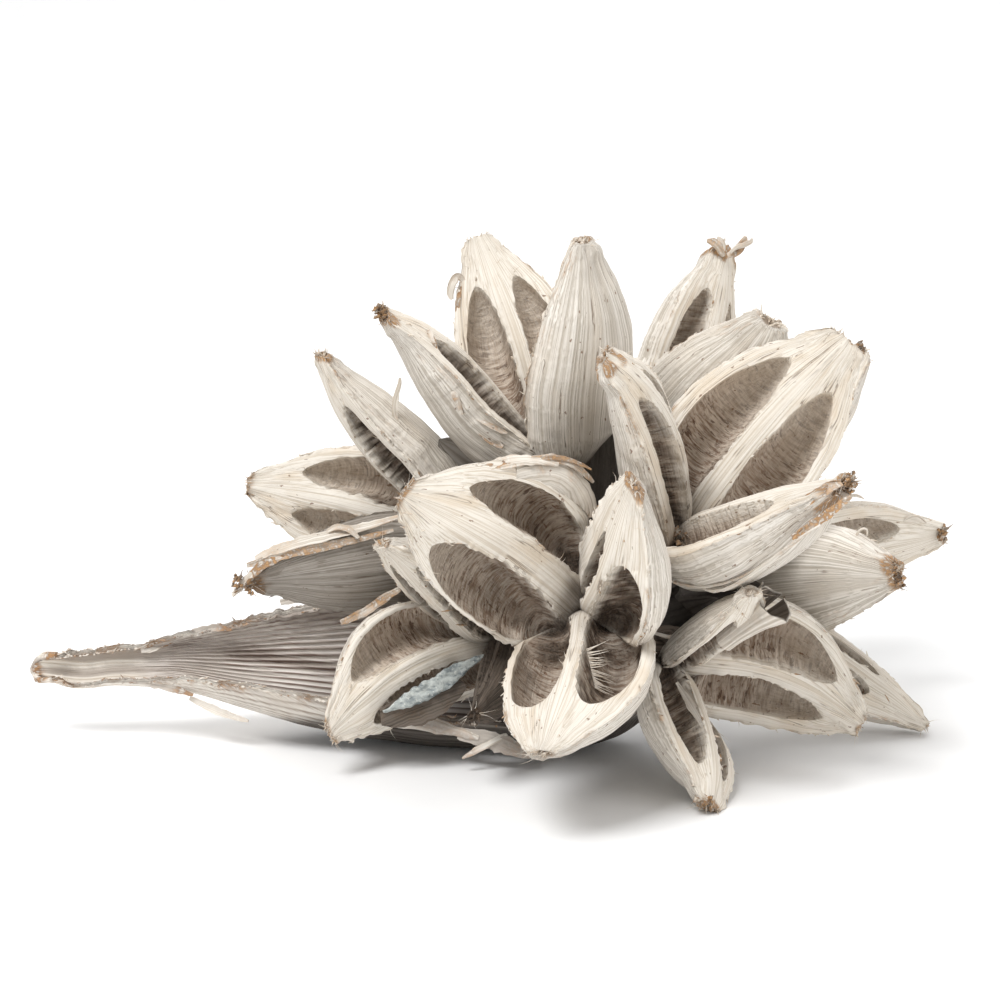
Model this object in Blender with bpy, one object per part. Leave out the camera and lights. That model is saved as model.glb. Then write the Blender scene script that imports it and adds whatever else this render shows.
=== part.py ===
"""Dried, bleached star pod: one boat-shaped bract of a traveller's palm with its cluster of open,
three-valved woody capsules.

Millimetres in the values below, metres in the model. +Z is up, +Y is away from the front, and the
bract's beak points to -X. The cluster rests on a small flat spot on the bract's belly.
"""

import math
from collections import namedtuple

import bmesh
import bpy
from mathutils import Vector

MM = 0.001
GAP = 0.3  # left between pieces that touch

# Sizes that every capsule shares
ROOT_SHARE = 0.30  # share of a valve's length over which it bends open
CURL_START = 0.35  # share of a valve's length where its tip starts to curl
ROOT_FACE_ANGLE = 64.0  # half the wedge between a valve's two split faces at its root
OPEN_FACE_ANGLE = 72.0  # the same further out, where the valve has dried flatter
DEEPEST_IN_BEND = 0.85  # depth of the outer wall as a share of the radius that the root bends to
CHAMBER_START = (0.01, 0.12)  # shares of the length between which a seed chamber deepens
CHAMBER_END = (0.73, 0.86)  # and runs out
WALL_THICKNESS = 0.13  # these three are shares of the valve's greatest radius
RIM_WIDTH = 0.21
SEPTUM_WIDTH = 0.23
SEAT_RADIUS = 8.4  # the knob that the three valves grow from
KNOB_HEIGHTS = (1.8, -1.0, -4.5, -8.0, -10.5)  # along its axis from the seat
KNOB_WIDTHS = (0.80, 0.98, 0.86, 0.58, 0.46)  # shares of the seat's radius at those heights
STALK_RADIUS = 3.6
STALK_LENGTH = 13.0
SIDES = 12

# Half-width of a valve along its length, as a share of its greatest radius
WIDTH_STOPS = (
    (0.00, 0.52), (0.06, 0.70), (0.14, 0.85), (0.25, 0.96), (0.40, 1.00), (0.52, 0.98),
    (0.64, 0.90), (0.75, 0.76), (0.84, 0.57), (0.92, 0.34), (0.97, 0.20), (1.00, 0.11),
)
VALVE_STATIONS = (0.0, 0.05, 0.12, 0.22, 0.34, 0.46, 0.58, 0.69, 0.78, 0.86, 0.93, 1.0)

# One valve: how far it stands open, its length, its greatest radius, how far its outer part curls
# outwards, how far its middle bows to the side, and how far it twists about its own length
Valve = namedtuple("Valve", "opening length radius curl bow twist")
# One capsule: the seat where its valves meet, the way that it points, and its turn about that line.
# Azimuth 0 points to the front and 90 to +X. Its three valves are 120 degrees apart.
Capsule = namedtuple("Capsule", "name seat azimuth elevation turn valves")

CAPSULES = (
    Capsule("capsule_front", (23, -38, 42.5), -22, 32, 251, (
        Valve(38, 61, 21, 17, -3, -10),
        Valve(57, 59, 19, 11, 3, -2),
        Valve(30, 58, 17, 19, -5, -6),
    )),
    Capsule("capsule_right", (46, -20, 55.5), 40, 53, 232, (
        Valve(34, 67, 16, 35, -3, -4),
        Valve(31, 66, 20, 5, -6, 20),
        Valve(49, 69, 21, 0, 2, 9),
    )),
    Capsule("capsule_upper_left", (15, 6, 67.5), -85, 73, 28, (
        Valve(21, 67, 17, 35, -2, -26),
        Valve(28, 66, 19, 4, 1, -15),
        Valve(40, 71, 17.5, 0, -2, 2),
    )),
    Capsule("capsule_upper_right", (44, 31, 59), 107, 55, 127, (
        Valve(18, 68, 18, 15, 0, -8),
        Valve(35, 60, 19, 1, -1, 2),
        Valve(32, 67, 18, -6, -2, -1),
    )),
    Capsule("capsule_far_right", (58, 15, 33), 80, -5, 118, (
        Valve(39, 67, 16, -3, 2, -4),
        Valve(42, 62, 17, 5, -1, -4),
        Valve(24, 64, 14, 12, 1, 22),
    )),
    Capsule("capsule_low_right", (44, -25.5, 28), 42, -12, 196, (
        Valve(46, 49, 11, 25, -2, -4),
        Valve(30, 48, 16, 27, -1, 13),
        Valve(51, 52, 18, -4, 5, 12),
    )),
    Capsule("capsule_low_left", (2, -14, 30.5), -41, -7, 188, (
        Valve(54, 50, 14, -2, 2, 0),
        Valve(30, 51, 15, 1, -5, -23),
        Valve(35, 36, 11, 0, 0, 0),
    )),
    Capsule("capsule_left", (-2, 12, 47.5), -88, 18, 169, (
        Valve(27, 70, 17, 32, 1, 26),
        Valve(29, 68, 17, -4, -2, -8),
        Valve(29, 66, 15, 14, 0, 19),
    )),
)

# The bract, from the tip of its beak to its torn base. At each station its wall is an arc round a
# centre, from the front rim, through the belly, to the back rim. Angles are from straight down,
# and negative to the front.
BractStation = namedtuple("BractStation", "x y z radius front_rim back_rim")
BRACT = (
    BractStation(-116.5, 2.0, 18.0, 2.6, -20, 165),
    BractStation(-113.0, 1.5, 18.3, 4.2, -28, 155),
    BractStation(-106.0, 1.5, 18.4, 4.8, -30, 150),
    BractStation(-96.0, 1.5, 18.7, 5.2, -32, 150),
    BractStation(-86.0, 1.5, 19.7, 5.8, -38, 140),
    BractStation(-76.0, 1.5, 21.1, 8.6, -46, 132),
    BractStation(-62.0, 0.5, 21.5, 13.0, -50, 128),
    BractStation(-48.0, 0.0, 21.9, 17.0, -50, 126),
    BractStation(-34.0, 0.0, 22.1, 20.4, -54, 124),
    BractStation(-20.0, -0.5, 22.5, 22.6, -58, 122),
    BractStation(-6.0, -1.5, 22.9, 23.4, -58, 120),
    BractStation(8.0, -3.0, 22.5, 23.2, -56, 118),
    BractStation(20.0, -4.0, 21.5, 21.8, -54, 116),
    BractStation(29.0, -4.0, 19.5, 18.0, -66, 114),
    BractStation(36.0, -3.0, 17.0, 12.5, -84, 120),
    BractStation(41.0, -1.0, 16.0, 8.6, -110, 140),
)
BRACT_WALL = 2.0
BRACT_RIBS = 9
RIB_HEIGHT = 0.45

# The dried seed coat that is left in one valve: a crumpled ribbon against its lower lip
ARIL_CAPSULE = "capsule_low_left"
ARIL_VALVE = 1
ARIL_SHARES = (0.14, 0.62)
ARIL_STATIONS = 13
ARIL_WIDTH = 5.0
ARIL_THICKNESS = 1.0
ARIL_CRUMPLE = 0.35
ARIL_OUTLINE = ((-0.5, -0.3), (0.0, -0.5), (0.5, -0.3), (0.5, 0.3), (0.0, 0.5), (-0.5, 0.3))

# The flower stalk: a knob inside the bract, a stub that leaves by the bract's base, and an arm to
# each capsule
KNOB_CENTRE = (27, 1, 28.5)
KNOB_RADII = (10, 9, 9.5)
ARM_ROOT_RADIUS = 4.6
STUB_BEND = (31, 0, 18.5)
STUB_NECK = (39, -1, 16)
STUB_END = (50, 1, 15.5)
STUB_RADIUS = 5.4
ARM_SHOULDER = 5.0  # length of each arm that runs straight into its capsule
ARM_SIDES = 10


def smooth(t):
    """0 below 0, 1 above 1, and an S curve between."""
    t = min(max(t, 0.0), 1.0)
    return t * t * (3 - 2 * t)


def along(stops, t):
    """The value at t on straight lines between (place, value) stops."""
    for (t0, v0), (t1, v1) in zip(stops, stops[1:]):
        if t <= t1:
            return v0 + (v1 - v0) * (t - t0) / (t1 - t0)
    return stops[-1][1]


def material(name, colour, roughness):
    made = bpy.data.materials.new(name)
    made.use_nodes = True
    shader = made.node_tree.nodes["Principled BSDF"]
    shader.inputs["Base Color"].default_value = (*colour, 1.0)
    shader.inputs["Roughness"].default_value = roughness
    return made


def mesh_object(name, bm, finish, smooth_angle=40.0):
    """A new object at the origin from a bmesh, faces pointing out, with its material."""
    bmesh.ops.recalc_face_normals(bm, faces=bm.faces)
    mesh = bpy.data.meshes.new(name)
    bm.to_mesh(mesh)
    bm.free()
    mesh.materials.append(finish)
    mesh.shade_smooth()
    mesh.set_sharp_from_angle(angle=math.radians(smooth_angle))
    made = bpy.data.objects.new(name, mesh)
    bpy.context.scene.collection.objects.link(made)
    return made


def loft(name, rings, finish):
    """A closed solid through rings of points in millimetres, with a flat cap at each end."""
    bm = bmesh.new()
    rows = [[bm.verts.new(Vector(point) * MM) for point in ring] for ring in rings]
    for row, following in zip(rows, rows[1:]):
        for i in range(len(row)):
            j = (i + 1) % len(row)
            bm.faces.new((row[i], following[i], following[j], row[j]))
    bm.faces.new(rows[0])
    bm.faces.new(reversed(rows[-1]))
    return mesh_object(name, bm, finish)


def tube(name, path, radii, finish, sides=SIDES):
    """A round solid along a path of points, in millimetres, with a radius at each."""
    rings = []
    for i, (point, radius) in enumerate(zip(path, radii)):
        ahead = (path[min(i + 1, len(path) - 1)] - path[max(i - 1, 0)]).normalized()
        across = ahead.orthogonal().normalized()
        if rings:
            across = (last_across - ahead * last_across.dot(ahead)).normalized()
        last_across = across
        other = ahead.cross(across)
        turn = [2 * math.pi * k / sides for k in range(sides)]
        rings.append([point + radius * (math.cos(t) * across + math.sin(t) * other) for t in turn])
    return loft(name, rings, finish)


def drop_scraps(mesh):
    """Keeps a mesh's largest body, and so drops loose scraps and fills sealed hollows."""
    bm = bmesh.new()
    bm.from_mesh(mesh)
    left, largest = set(bm.faces), set()
    while left:
        body, edge_on = set(), [left.pop()]
        while edge_on:
            face = edge_on.pop()
            body.add(face)
            for edge in face.edges:
                if len(edge.link_faces) != 2:
                    continue
                for other in edge.link_faces:
                    if other in left:
                        left.remove(other)
                        edge_on.append(other)
        if len(body) > len(largest):
            largest = body
    scraps = [face for face in bm.faces if face not in largest]
    bmesh.ops.delete(bm, geom=scraps, context="FACES")
    bm.to_mesh(mesh)
    bm.free()


def join(target, others):
    """Fuses the others into the target with one Boolean union, and removes them."""
    joined = bpy.data.collections.new(target.name + "_joined")
    bpy.context.scene.collection.children.link(joined)
    for other in others:
        bpy.context.scene.collection.objects.unlink(other)
        joined.objects.link(other)
    union = target.modifiers.new("union", "BOOLEAN")
    union.operation = "UNION"
    union.solver = "MANIFOLD"
    union.operand_type = "COLLECTION"
    union.collection = joined
    bpy.context.view_layer.update()
    graph = bpy.context.evaluated_depsgraph_get()
    fused = bpy.data.meshes.new_from_object(target.evaluated_get(graph))
    target.modifiers.remove(union)
    target.data = fused
    drop_scraps(fused)
    for other in others:
        bpy.data.objects.remove(other)
    bpy.data.collections.remove(joined)
    return target


def capsule_axes(capsule):
    """The way that a capsule points, and two directions across it."""
    azimuth, elevation, turn = (
        math.radians(angle) for angle in (capsule.azimuth, capsule.elevation, capsule.turn)
    )
    axis = Vector((
        math.sin(azimuth) * math.cos(elevation),
        -math.cos(azimuth) * math.cos(elevation),
        math.sin(elevation),
    ))
    level = Vector((math.cos(azimuth), math.sin(azimuth), 0.0))
    upright = level.cross(axis)
    first = math.cos(turn) * upright + math.sin(turn) * level
    return axis, first, axis.cross(first)


def valve_section(share, valve):
    """The outline of a valve's cut at this share of its length: x to the side, y towards the
    capsule's axis. Two split faces slope down from the septum's crest to the rims, each with the
    half of a seed chamber sunk in it, and the outer wall closes the outline. Near the root the
    outer wall stays inside the valve's bend, where it would otherwise fold over itself."""
    radius = valve.radius
    size = radius * along(WIDTH_STOPS, share)
    half_wedge = math.radians(
        ROOT_FACE_ANGLE + (OPEN_FACE_ANGLE - ROOT_FACE_ANGLE) * smooth(share / 0.4)
    )
    rim_x, rim_y = size * math.sin(half_wedge), -size * math.cos(half_wedge)
    wall = WALL_THICKNESS * radius * min(1.0, 1.6 * size / radius)
    turned = min(share / ROOT_SHARE, 1.0)
    bend = math.radians(valve.opening) * 6 * turned * (1 - turned) / (ROOT_SHARE * valve.length)
    back_y = -min(size * 0.98, DEEPEST_IN_BEND / max(bend, 1e-6))
    (start, deep), (shallow, end) = CHAMBER_START, CHAMBER_END
    hollow = smooth((share - start) / (deep - start)) * smooth((end - share) / (end - shallow))
    lip_x = rim_x - RIM_WIDTH * radius * min(1.0, 1.25 * size / radius)
    crest_x = min(SEPTUM_WIDTH * radius * (1 - 0.3 * share), 0.5 * lip_x)
    crest_y = 0.8 * (1 - smooth(share / 0.15))
    slope = rim_y / rim_x
    floor_y = (back_y + wall) * hollow

    def sunk(x, depth_share):
        """A point of the chamber, or of the plain face where the chamber has run out."""
        return min(x * slope - 0.02 * radius * hollow, floor_y * depth_share)

    right = [
        (crest_x, 0.35 * crest_x * slope),
        (crest_x * (1 - 0.30 * hollow) + 0.02 * radius, sunk(crest_x * 1.1, 0.45)),
        (0.35 * lip_x + 0.25 * crest_x, sunk(0.45 * lip_x, 0.96)),
        (0.80 * lip_x, sunk(0.80 * lip_x, 0.84)),
        (lip_x, lip_x * slope - 0.01 * radius * hollow),
        (rim_x, rim_y),
        (rim_x * 0.95, rim_y + 0.36 * (back_y - rim_y)),
        (rim_x * 0.62, rim_y + 0.80 * (back_y - rim_y)),
    ]
    left = [(-x, y) for x, y in reversed(right)]
    return [(0.0, crest_y), *right, (0.0, back_y), *left]


def valve_heading(valve, share, axis, outward):
    """The directions along and into a valve at this share of its length."""
    curl = valve.curl * smooth((share - CURL_START) / (1 - CURL_START))
    angle = math.radians(valve.opening * smooth(share / ROOT_SHARE) + curl)
    ahead = math.cos(angle) * axis + math.sin(angle) * outward
    inward = math.sin(angle) * axis - math.cos(angle) * outward
    return ahead, inward


def valve_places(capsule, index, shares, steps=100):
    """The spine of one valve at these shares of its length, with the directions across it and
    into it. The spine bends open round the capsule's axis, bows to a side and twists."""
    axis, first, second = capsule_axes(capsule)
    turn = math.radians(120 * index)
    outward = math.cos(turn) * first + math.sin(turn) * second
    side = axis.cross(outward)
    valve = capsule.valves[index]
    places, spot, done = [], Vector(capsule.seat), 0
    for share in shares:
        while done < round(share * steps):
            heading = valve_heading(valve, (done + 0.5) / steps, axis, outward)[0]
            spot = spot + heading * valve.length / steps
            done += 1
        inward = valve_heading(valve, share, axis, outward)[1]
        centre = spot + side * valve.bow * math.sin(math.pi * share)
        twist = math.radians(valve.twist * smooth(share / 0.5))
        across = math.cos(twist) * side + math.sin(twist) * inward
        places.append((centre, across, math.cos(twist) * inward - math.sin(twist) * side))
    return places


def valve_rings(capsule, index):
    """The outlines along one valve."""
    valve = capsule.valves[index]
    rings = []
    places = valve_places(capsule, index, VALVE_STATIONS)
    for share, (centre, across, inward) in zip(VALVE_STATIONS, places):
        rings.append([centre + across * x + inward * y for x, y in valve_section(share, valve)])
    return rings


def make_aril(finish):
    """A ribbon along the inside of one lip of its valve, which it stands a little out of."""
    capsule = next(row for row in CAPSULES if row.name == ARIL_CAPSULE)
    valve = capsule.valves[ARIL_VALVE]
    first, last = ARIL_SHARES
    shares = [first + (last - first) * i / (ARIL_STATIONS - 1) for i in range(ARIL_STATIONS)]
    rings = []
    for i, (share, place) in enumerate(zip(shares, valve_places(capsule, ARIL_VALVE, shares))):
        wall, lip = (Vector(point) for point in valve_section(share, valve)[4:6])
        up = (lip - wall).normalized()
        inward = Vector((-up.y, up.x))
        taper = smooth((0.5 - abs(i / (ARIL_STATIONS - 1) - 0.5)) / 0.25)
        width = ARIL_WIDTH * (0.35 + 0.65 * taper)
        wave = ARIL_CRUMPLE * (i % 2)
        middle = lip + inward * (GAP + ARIL_THICKNESS / 2 + wave) - up * (0.15 * width - wave)
        section = [
            middle + up * (width * a) + inward * (ARIL_THICKNESS * b) for a, b in ARIL_OUTLINE
        ]
        centre, across, into = place
        rings.append([centre + across * x + into * y for x, y in section])
    return loft("seed_aril", rings, finish)


def stalk_end(capsule):
    """The point where a capsule's own stalk stops, and the way that it points."""
    axis = capsule_axes(capsule)[0]
    return Vector(capsule.seat) - axis * STALK_LENGTH, axis


def make_capsule(capsule, finish):
    """Three hollow valves fused at their roots to a knob on a short stalk."""
    end, axis = stalk_end(capsule)
    seat = Vector(capsule.seat)
    path = [seat + axis * height for height in KNOB_HEIGHTS] + [end]
    radii = [SEAT_RADIUS * width for width in KNOB_WIDTHS] + [STALK_RADIUS]
    knob = tube(capsule.name, path, radii, finish)
    valves = [
        loft(f"{capsule.name}_valve_{index}", valve_rings(capsule, index), finish)
        for index in range(len(capsule.valves))
    ]
    return join(knob, valves)


def bract_outline(station):
    """The bract's wall at one station: down the inside from the back rim to the front rim, then
    back along the outside. Ribs alternate on both faces."""
    points = []
    count = 2 * BRACT_RIBS
    rib = RIB_HEIGHT * min(1.0, station.radius / 14)
    wall = BRACT_WALL * min(1.0, 0.45 + station.radius / 30)
    for radius, order in ((station.radius - wall, range(count, -1, -1)),
                          (station.radius, range(count + 1))):
        for i in order:
            angle = math.radians(
                station.front_rim + (station.back_rim - station.front_rim) * i / count
            )
            reach = radius + (rib / 2 if i % 2 else -rib / 2)
            y = station.y + reach * math.sin(angle)
            z = station.z - reach * math.cos(angle)
            points.append((station.x, y, z))
    return points


def make_bract(finish):
    """The boat of the bract. Its belly is flattened where it rests."""
    rings = []
    for station in BRACT:
        rings.append([(x, y, max(z, 0.0)) for x, y, z in bract_outline(station)])
    return loft("bract", rings, finish)


def make_flower_stalk(finish):
    """The knob, the stub that leaves through the bract's base, and one arm to each capsule."""
    bm = bmesh.new()
    bmesh.ops.create_icosphere(bm, subdivisions=2, radius=1.0)
    for vert in bm.verts:
        vert.co = Vector([(c + v * r) * MM for c, v, r in zip(KNOB_CENTRE, vert.co, KNOB_RADII)])
    knob = mesh_object("flower_stalk", bm, finish)
    centre = Vector(KNOB_CENTRE)
    path = [centre, Vector(STUB_BEND), Vector(STUB_NECK), Vector(STUB_END)]
    radii = [STUB_RADIUS * 1.1, STUB_RADIUS, STUB_RADIUS * 0.9, STUB_RADIUS]
    arms = [tube("stub", path, radii, finish)]
    for capsule in CAPSULES:
        end, axis = stalk_end(capsule)
        tip = end - axis * GAP
        shoulder = tip - axis * ARM_SHOULDER
        middle = (centre + shoulder) / 2
        radii = [ARM_ROOT_RADIUS, ARM_ROOT_RADIUS * 0.9, STALK_RADIUS * 1.05, STALK_RADIUS]
        arms.append(tube("arm", [centre, middle, shoulder, tip], radii, finish, ARM_SIDES))
    return join(knob, arms)


def main():
    for old in list(bpy.data.objects):
        bpy.data.objects.remove(old)
    capsule_finish = material("bleached_capsule", (0.66, 0.60, 0.53), 0.85)
    bract_finish = material("dried_bract", (0.50, 0.44, 0.38), 0.9)
    stalk_finish = material("dried_stalk", (0.34, 0.27, 0.21), 0.95)
    aril_finish = material("dried_aril", (0.42, 0.46, 0.47), 0.8)
    make_bract(bract_finish)
    make_flower_stalk(stalk_finish)
    for capsule in CAPSULES:
        make_capsule(capsule, capsule_finish)
    make_aril(aril_finish)


main()
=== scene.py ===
"""Looks of the dried star pod: a bleached bract with eight open seed capsules, lying on a pale floor."""

import math
from collections import namedtuple

import bpy
import numpy as np
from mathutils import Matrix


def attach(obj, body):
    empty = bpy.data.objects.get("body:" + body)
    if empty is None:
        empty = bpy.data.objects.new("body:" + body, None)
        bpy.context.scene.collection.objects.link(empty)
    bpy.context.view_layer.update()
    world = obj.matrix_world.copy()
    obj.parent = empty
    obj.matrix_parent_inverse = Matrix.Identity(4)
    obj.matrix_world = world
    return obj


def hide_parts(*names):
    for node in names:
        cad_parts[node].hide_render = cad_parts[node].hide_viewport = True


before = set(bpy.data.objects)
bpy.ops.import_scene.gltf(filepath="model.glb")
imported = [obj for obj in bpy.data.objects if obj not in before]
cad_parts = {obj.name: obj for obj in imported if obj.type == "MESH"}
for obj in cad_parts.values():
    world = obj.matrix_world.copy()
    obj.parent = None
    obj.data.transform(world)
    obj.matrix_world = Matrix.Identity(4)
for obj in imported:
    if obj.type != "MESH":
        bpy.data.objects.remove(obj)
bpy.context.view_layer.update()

# The eight woody seed capsules
# Each grew as one piece of husk: three boat-shaped valves on a knob with a short stalk, which split
# and dried open. The split faces are bleached cream and the seed chambers in them stay brown, with
# painted shade laid in them. The outer wall is grey and finely streaked, with layers of bark that end
# short of the rim. Painted shade also darkens the roots of the valves and the valves that lie in shadow.

MM = 0.001
ROOT_SHARE = 0.30  # share of a valve's length over which it bends open
CURL_START = 0.35  # share where its tip starts to curl
ROOT_FACE_ANGLE = 64.0  # half the wedge between the split faces at the root
OPEN_FACE_ANGLE = 72.0  # and where the valve has dried flatter
DEEPEST_IN_BEND = 0.85
SEAT_RADIUS = 8.4
STALK_LENGTH = 13.0
WIDTH_PLACES = (0.00, 0.06, 0.14, 0.25, 0.40, 0.52, 0.64, 0.75, 0.84, 0.92, 0.97, 1.00)
WIDTHS = (0.52, 0.70, 0.85, 0.96, 1.00, 0.98, 0.90, 0.76, 0.57, 0.34, 0.20, 0.11)
STATIONS = 120
# Columns of points across the crest, the chamber, the rim and the outer wall of half a valve, for
# valves that show their inside, their outer wall or both.
INSIDE = (7, 26, 8, 16)
OUTSIDE = (5, 14, 7, 31)
BOTH = (7, 20, 8, 22)

# The first six sizes of a valve are those of its solid. Then come the widths of its two rims and of
# the two sides of its septum, as shares of the usual, and where along it the chambers start and end.
# Then: how torn its edges are, how blunt its tip is, the share of it that is brown, how far below the
# rim its bark ends at the root and at the tip, in millimetres, how much painted shade lies over the
# whole valve (below 0 takes some off its root), how much painted shade lies in its chambers, and its columns.
Valve = namedtuple(
    "Valve", "opening length radius curl bow twist rims septum pit torn blunt brown peel dark gloom columns",
    defaults=((1.0, 1.0), (0.8, 0.8), (0.04, 0.79), 0.3, 0.25, 0.03, (1.0, 0.8), 0.0, 0.0, INSIDE),
)
Capsule = namedtuple("Capsule", "name seat azimuth elevation turn valves")
CAPSULES = (
    Capsule("capsule_front", (23, -38, 42.5), -22, 32, 251, (
        Valve(38, 61, 21, 17, -3, -10, gloom=0.2, blunt=0.11, brown=0.05, rims=(0.25, 1.0),
              septum=(1.1, 1.1), pit=(0.03, 0.77), torn=0.6),
        Valve(57, 59, 19, 11, 3, -2, gloom=0.6, blunt=0.28, brown=0.015, rims=(0.75, 0.55),
              septum=(0.45, 0.45), pit=(0.06, 0.72)),
        Valve(30, 58, 17, 19, -5, -6, gloom=0.6, blunt=0.28, brown=0.05, rims=(2.2, 0.45),
              septum=(0.6, 0.6), pit=(0.08, 0.66), torn=0.5),
    )),
    Capsule("capsule_right", (46, -20, 55.5), 40, 53, 232, (
        Valve(34, 67, 16, 35, -3, -4, gloom=0.5, blunt=0.66, brown=0.07, rims=(1.2, 0.9),
              septum=(0.7, 0.7), torn=0.4, columns=BOTH),
        Valve(31, 66, 20, 5, -6, 20, blunt=0.45, brown=0.06, peel=(15.0, 2.5), torn=0.5,
              dark=0.07, columns=OUTSIDE),
        Valve(49, 69, 21, 0, 2, 9, blunt=0.5, brown=0.02, rims=(0.9, 0.8), septum=(0.7, 0.7),
              pit=(0.04, 0.80)),
    )),
    Capsule("capsule_upper_left", (15, 6, 67.5), -85, 73, 28, (
        Valve(21, 67, 17, 35, -2, -26, gloom=0.75, blunt=0.22, brown=0.05, peel=(3.5, 1.5), torn=0.5,
              columns=BOTH),
        Valve(28, 66, 19, 4, 1, -15, dark=-0.25, blunt=0.3, brown=0.02, peel=(1.0, 2.0), torn=0.4,
              columns=OUTSIDE),
        Valve(40, 71, 17.5, 0, -2, 2, blunt=0.33, brown=0.012, rims=(0.9, 1.0), septum=(0.6, 0.6),
              pit=(0.04, 0.80)),
    )),
    Capsule("capsule_upper_right", (44, 31, 59), 107, 55, 127, (
        Valve(18, 68, 18, 15, 0, -8, gloom=0.3, blunt=0.55, brown=0.06, septum=(0.7, 0.7), torn=0.5,
              columns=BOTH),
        Valve(35, 60, 19, 1, -1, 2, blunt=0.5, brown=0.01, peel=(2.0, 3.0), columns=OUTSIDE),
        Valve(32, 67, 18, -6, -2, -1, blunt=0.28, brown=0.03, columns=OUTSIDE),
    )),
    Capsule("capsule_far_right", (58, 15, 33), 80, -5, 118, (
        Valve(39, 67, 16, -3, 2, -4, rims=(0.9, 0.8), septum=(0.7, 0.7)),
        Valve(42, 62, 17, 5, -1, -4, brown=0.045, peel=(2.0, 4.0), dark=0.08, columns=OUTSIDE),
        Valve(24, 64, 14, 12, 1, 22, gloom=0.4, rims=(1.4, 1.4), pit=(0.3, 0.72), columns=BOTH),
    )),
    Capsule("capsule_low_right", (44, -25.5, 28), 42, -12, 196, (
        Valve(46, 49, 11, 25, -2, -4, gloom=0.45, blunt=0.44, brown=0.02, torn=0.6, columns=BOTH),
        Valve(30, 48, 16, 27, -1, 13, gloom=0.5, blunt=0.5, brown=0.04, septum=(0.6, 0.6), torn=0.6,
              columns=BOTH),
        Valve(51, 52, 18, -4, 5, 12, dark=-0.2, rims=(0.8, 1.0), septum=(0.6, 0.6),
              pit=(0.06, 0.80)),
    )),
    Capsule("capsule_low_left", (2, -14, 30.5), -41, -7, 188, (
        Valve(54, 50, 14, -2, 2, 0, gloom=0.7, torn=0.5, columns=BOTH),
        Valve(30, 51, 15, 1, -5, -23, rims=(0.5, 0.6), septum=(1.5, 0.5), pit=(0.04, 0.76), torn=0.4),
        Valve(35, 36, 11, 0, 0, 0, dark=1.0, columns=OUTSIDE),
    )),
    Capsule("capsule_left", (-2, 12, 47.5), -88, 18, 169, (
        Valve(27, 70, 17, 32, 1, 26, gloom=0.8, septum=(0.6, 0.6), torn=0.6, columns=BOTH),
        Valve(29, 68, 17, -4, -2, -8, rims=(0.8, 0.8), septum=(0.7, 0.7), torn=0.5),
        Valve(29, 66, 15, 14, 0, 19, blunt=0.17, brown=0.06, peel=(5.0, 2.0), torn=0.8, dark=0.6,
              columns=OUTSIDE),
    )),
)


def smooth(t):
    """0 below 0, 1 above 1, and an S curve between."""
    t = np.clip(t, 0.0, 1.0)
    return t * t * (3 - 2 * t)


def relief(points, sizes, seed):
    """Random bumps between -1 and 1, this many millimetres long in each of three directions."""
    place = points / np.array(sizes, float) + seed * 17.31
    cell = np.floor(place)
    part = smooth(place - cell)
    total = 0.0
    for corner in range(8):
        step = np.array([corner & 1, corner >> 1 & 1, corner >> 2 & 1])
        mixed = np.sin((cell + step) @ np.array([127.1, 311.7, 74.7])) * 43758.5453
        share = np.prod(np.where(step == 1, part, 1 - part), axis=-1)
        total = total + share * (2 * (mixed - np.floor(mixed)) - 1)
    return total


def capsule_axes(capsule):
    """The way that a capsule points, and two directions across it."""
    azimuth, elevation, turn = np.radians((capsule.azimuth, capsule.elevation, capsule.turn))
    axis = np.array((
        math.sin(azimuth) * math.cos(elevation),
        -math.cos(azimuth) * math.cos(elevation),
        math.sin(elevation),
    ))
    level = np.array((math.cos(azimuth), math.sin(azimuth), 0.0))
    first = math.cos(turn) * np.cross(level, axis) + math.sin(turn) * level
    return axis, first, np.cross(axis, first)


def valve_places(capsule, index, share, steps=400):
    """A valve's spine at these shares of its length, with the directions across and into it."""
    valve = capsule.valves[index]
    axis, first, second = capsule_axes(capsule)
    turn = math.radians(120 * index)
    outward = math.cos(turn) * first + math.sin(turn) * second
    side = np.cross(axis, outward)

    def angle(at):
        curl = valve.curl * smooth((at - CURL_START) / (1 - CURL_START))
        return np.radians(valve.opening * smooth(at / ROOT_SHARE) + curl)[:, None]

    fine = (np.arange(steps) + 0.5) / steps
    headings = np.cos(angle(fine)) * axis + np.sin(angle(fine)) * outward
    path = np.vstack([np.zeros(3), np.cumsum(headings, axis=0)]) * valve.length / steps
    ends = np.arange(steps + 1) / steps
    spot = np.stack([np.interp(share, ends, path[:, k]) for k in range(3)], axis=1)
    centre = np.array(capsule.seat) + spot + side * valve.bow * np.sin(math.pi * share)[:, None]
    inward = np.sin(angle(share)) * axis - np.cos(angle(share)) * outward
    twist = np.radians(valve.twist * smooth(share / 0.5))[:, None]
    across = np.cos(twist) * side + np.sin(twist) * inward
    into = np.cos(twist) * inward - np.sin(twist) * side
    return centre, across, into


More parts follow.
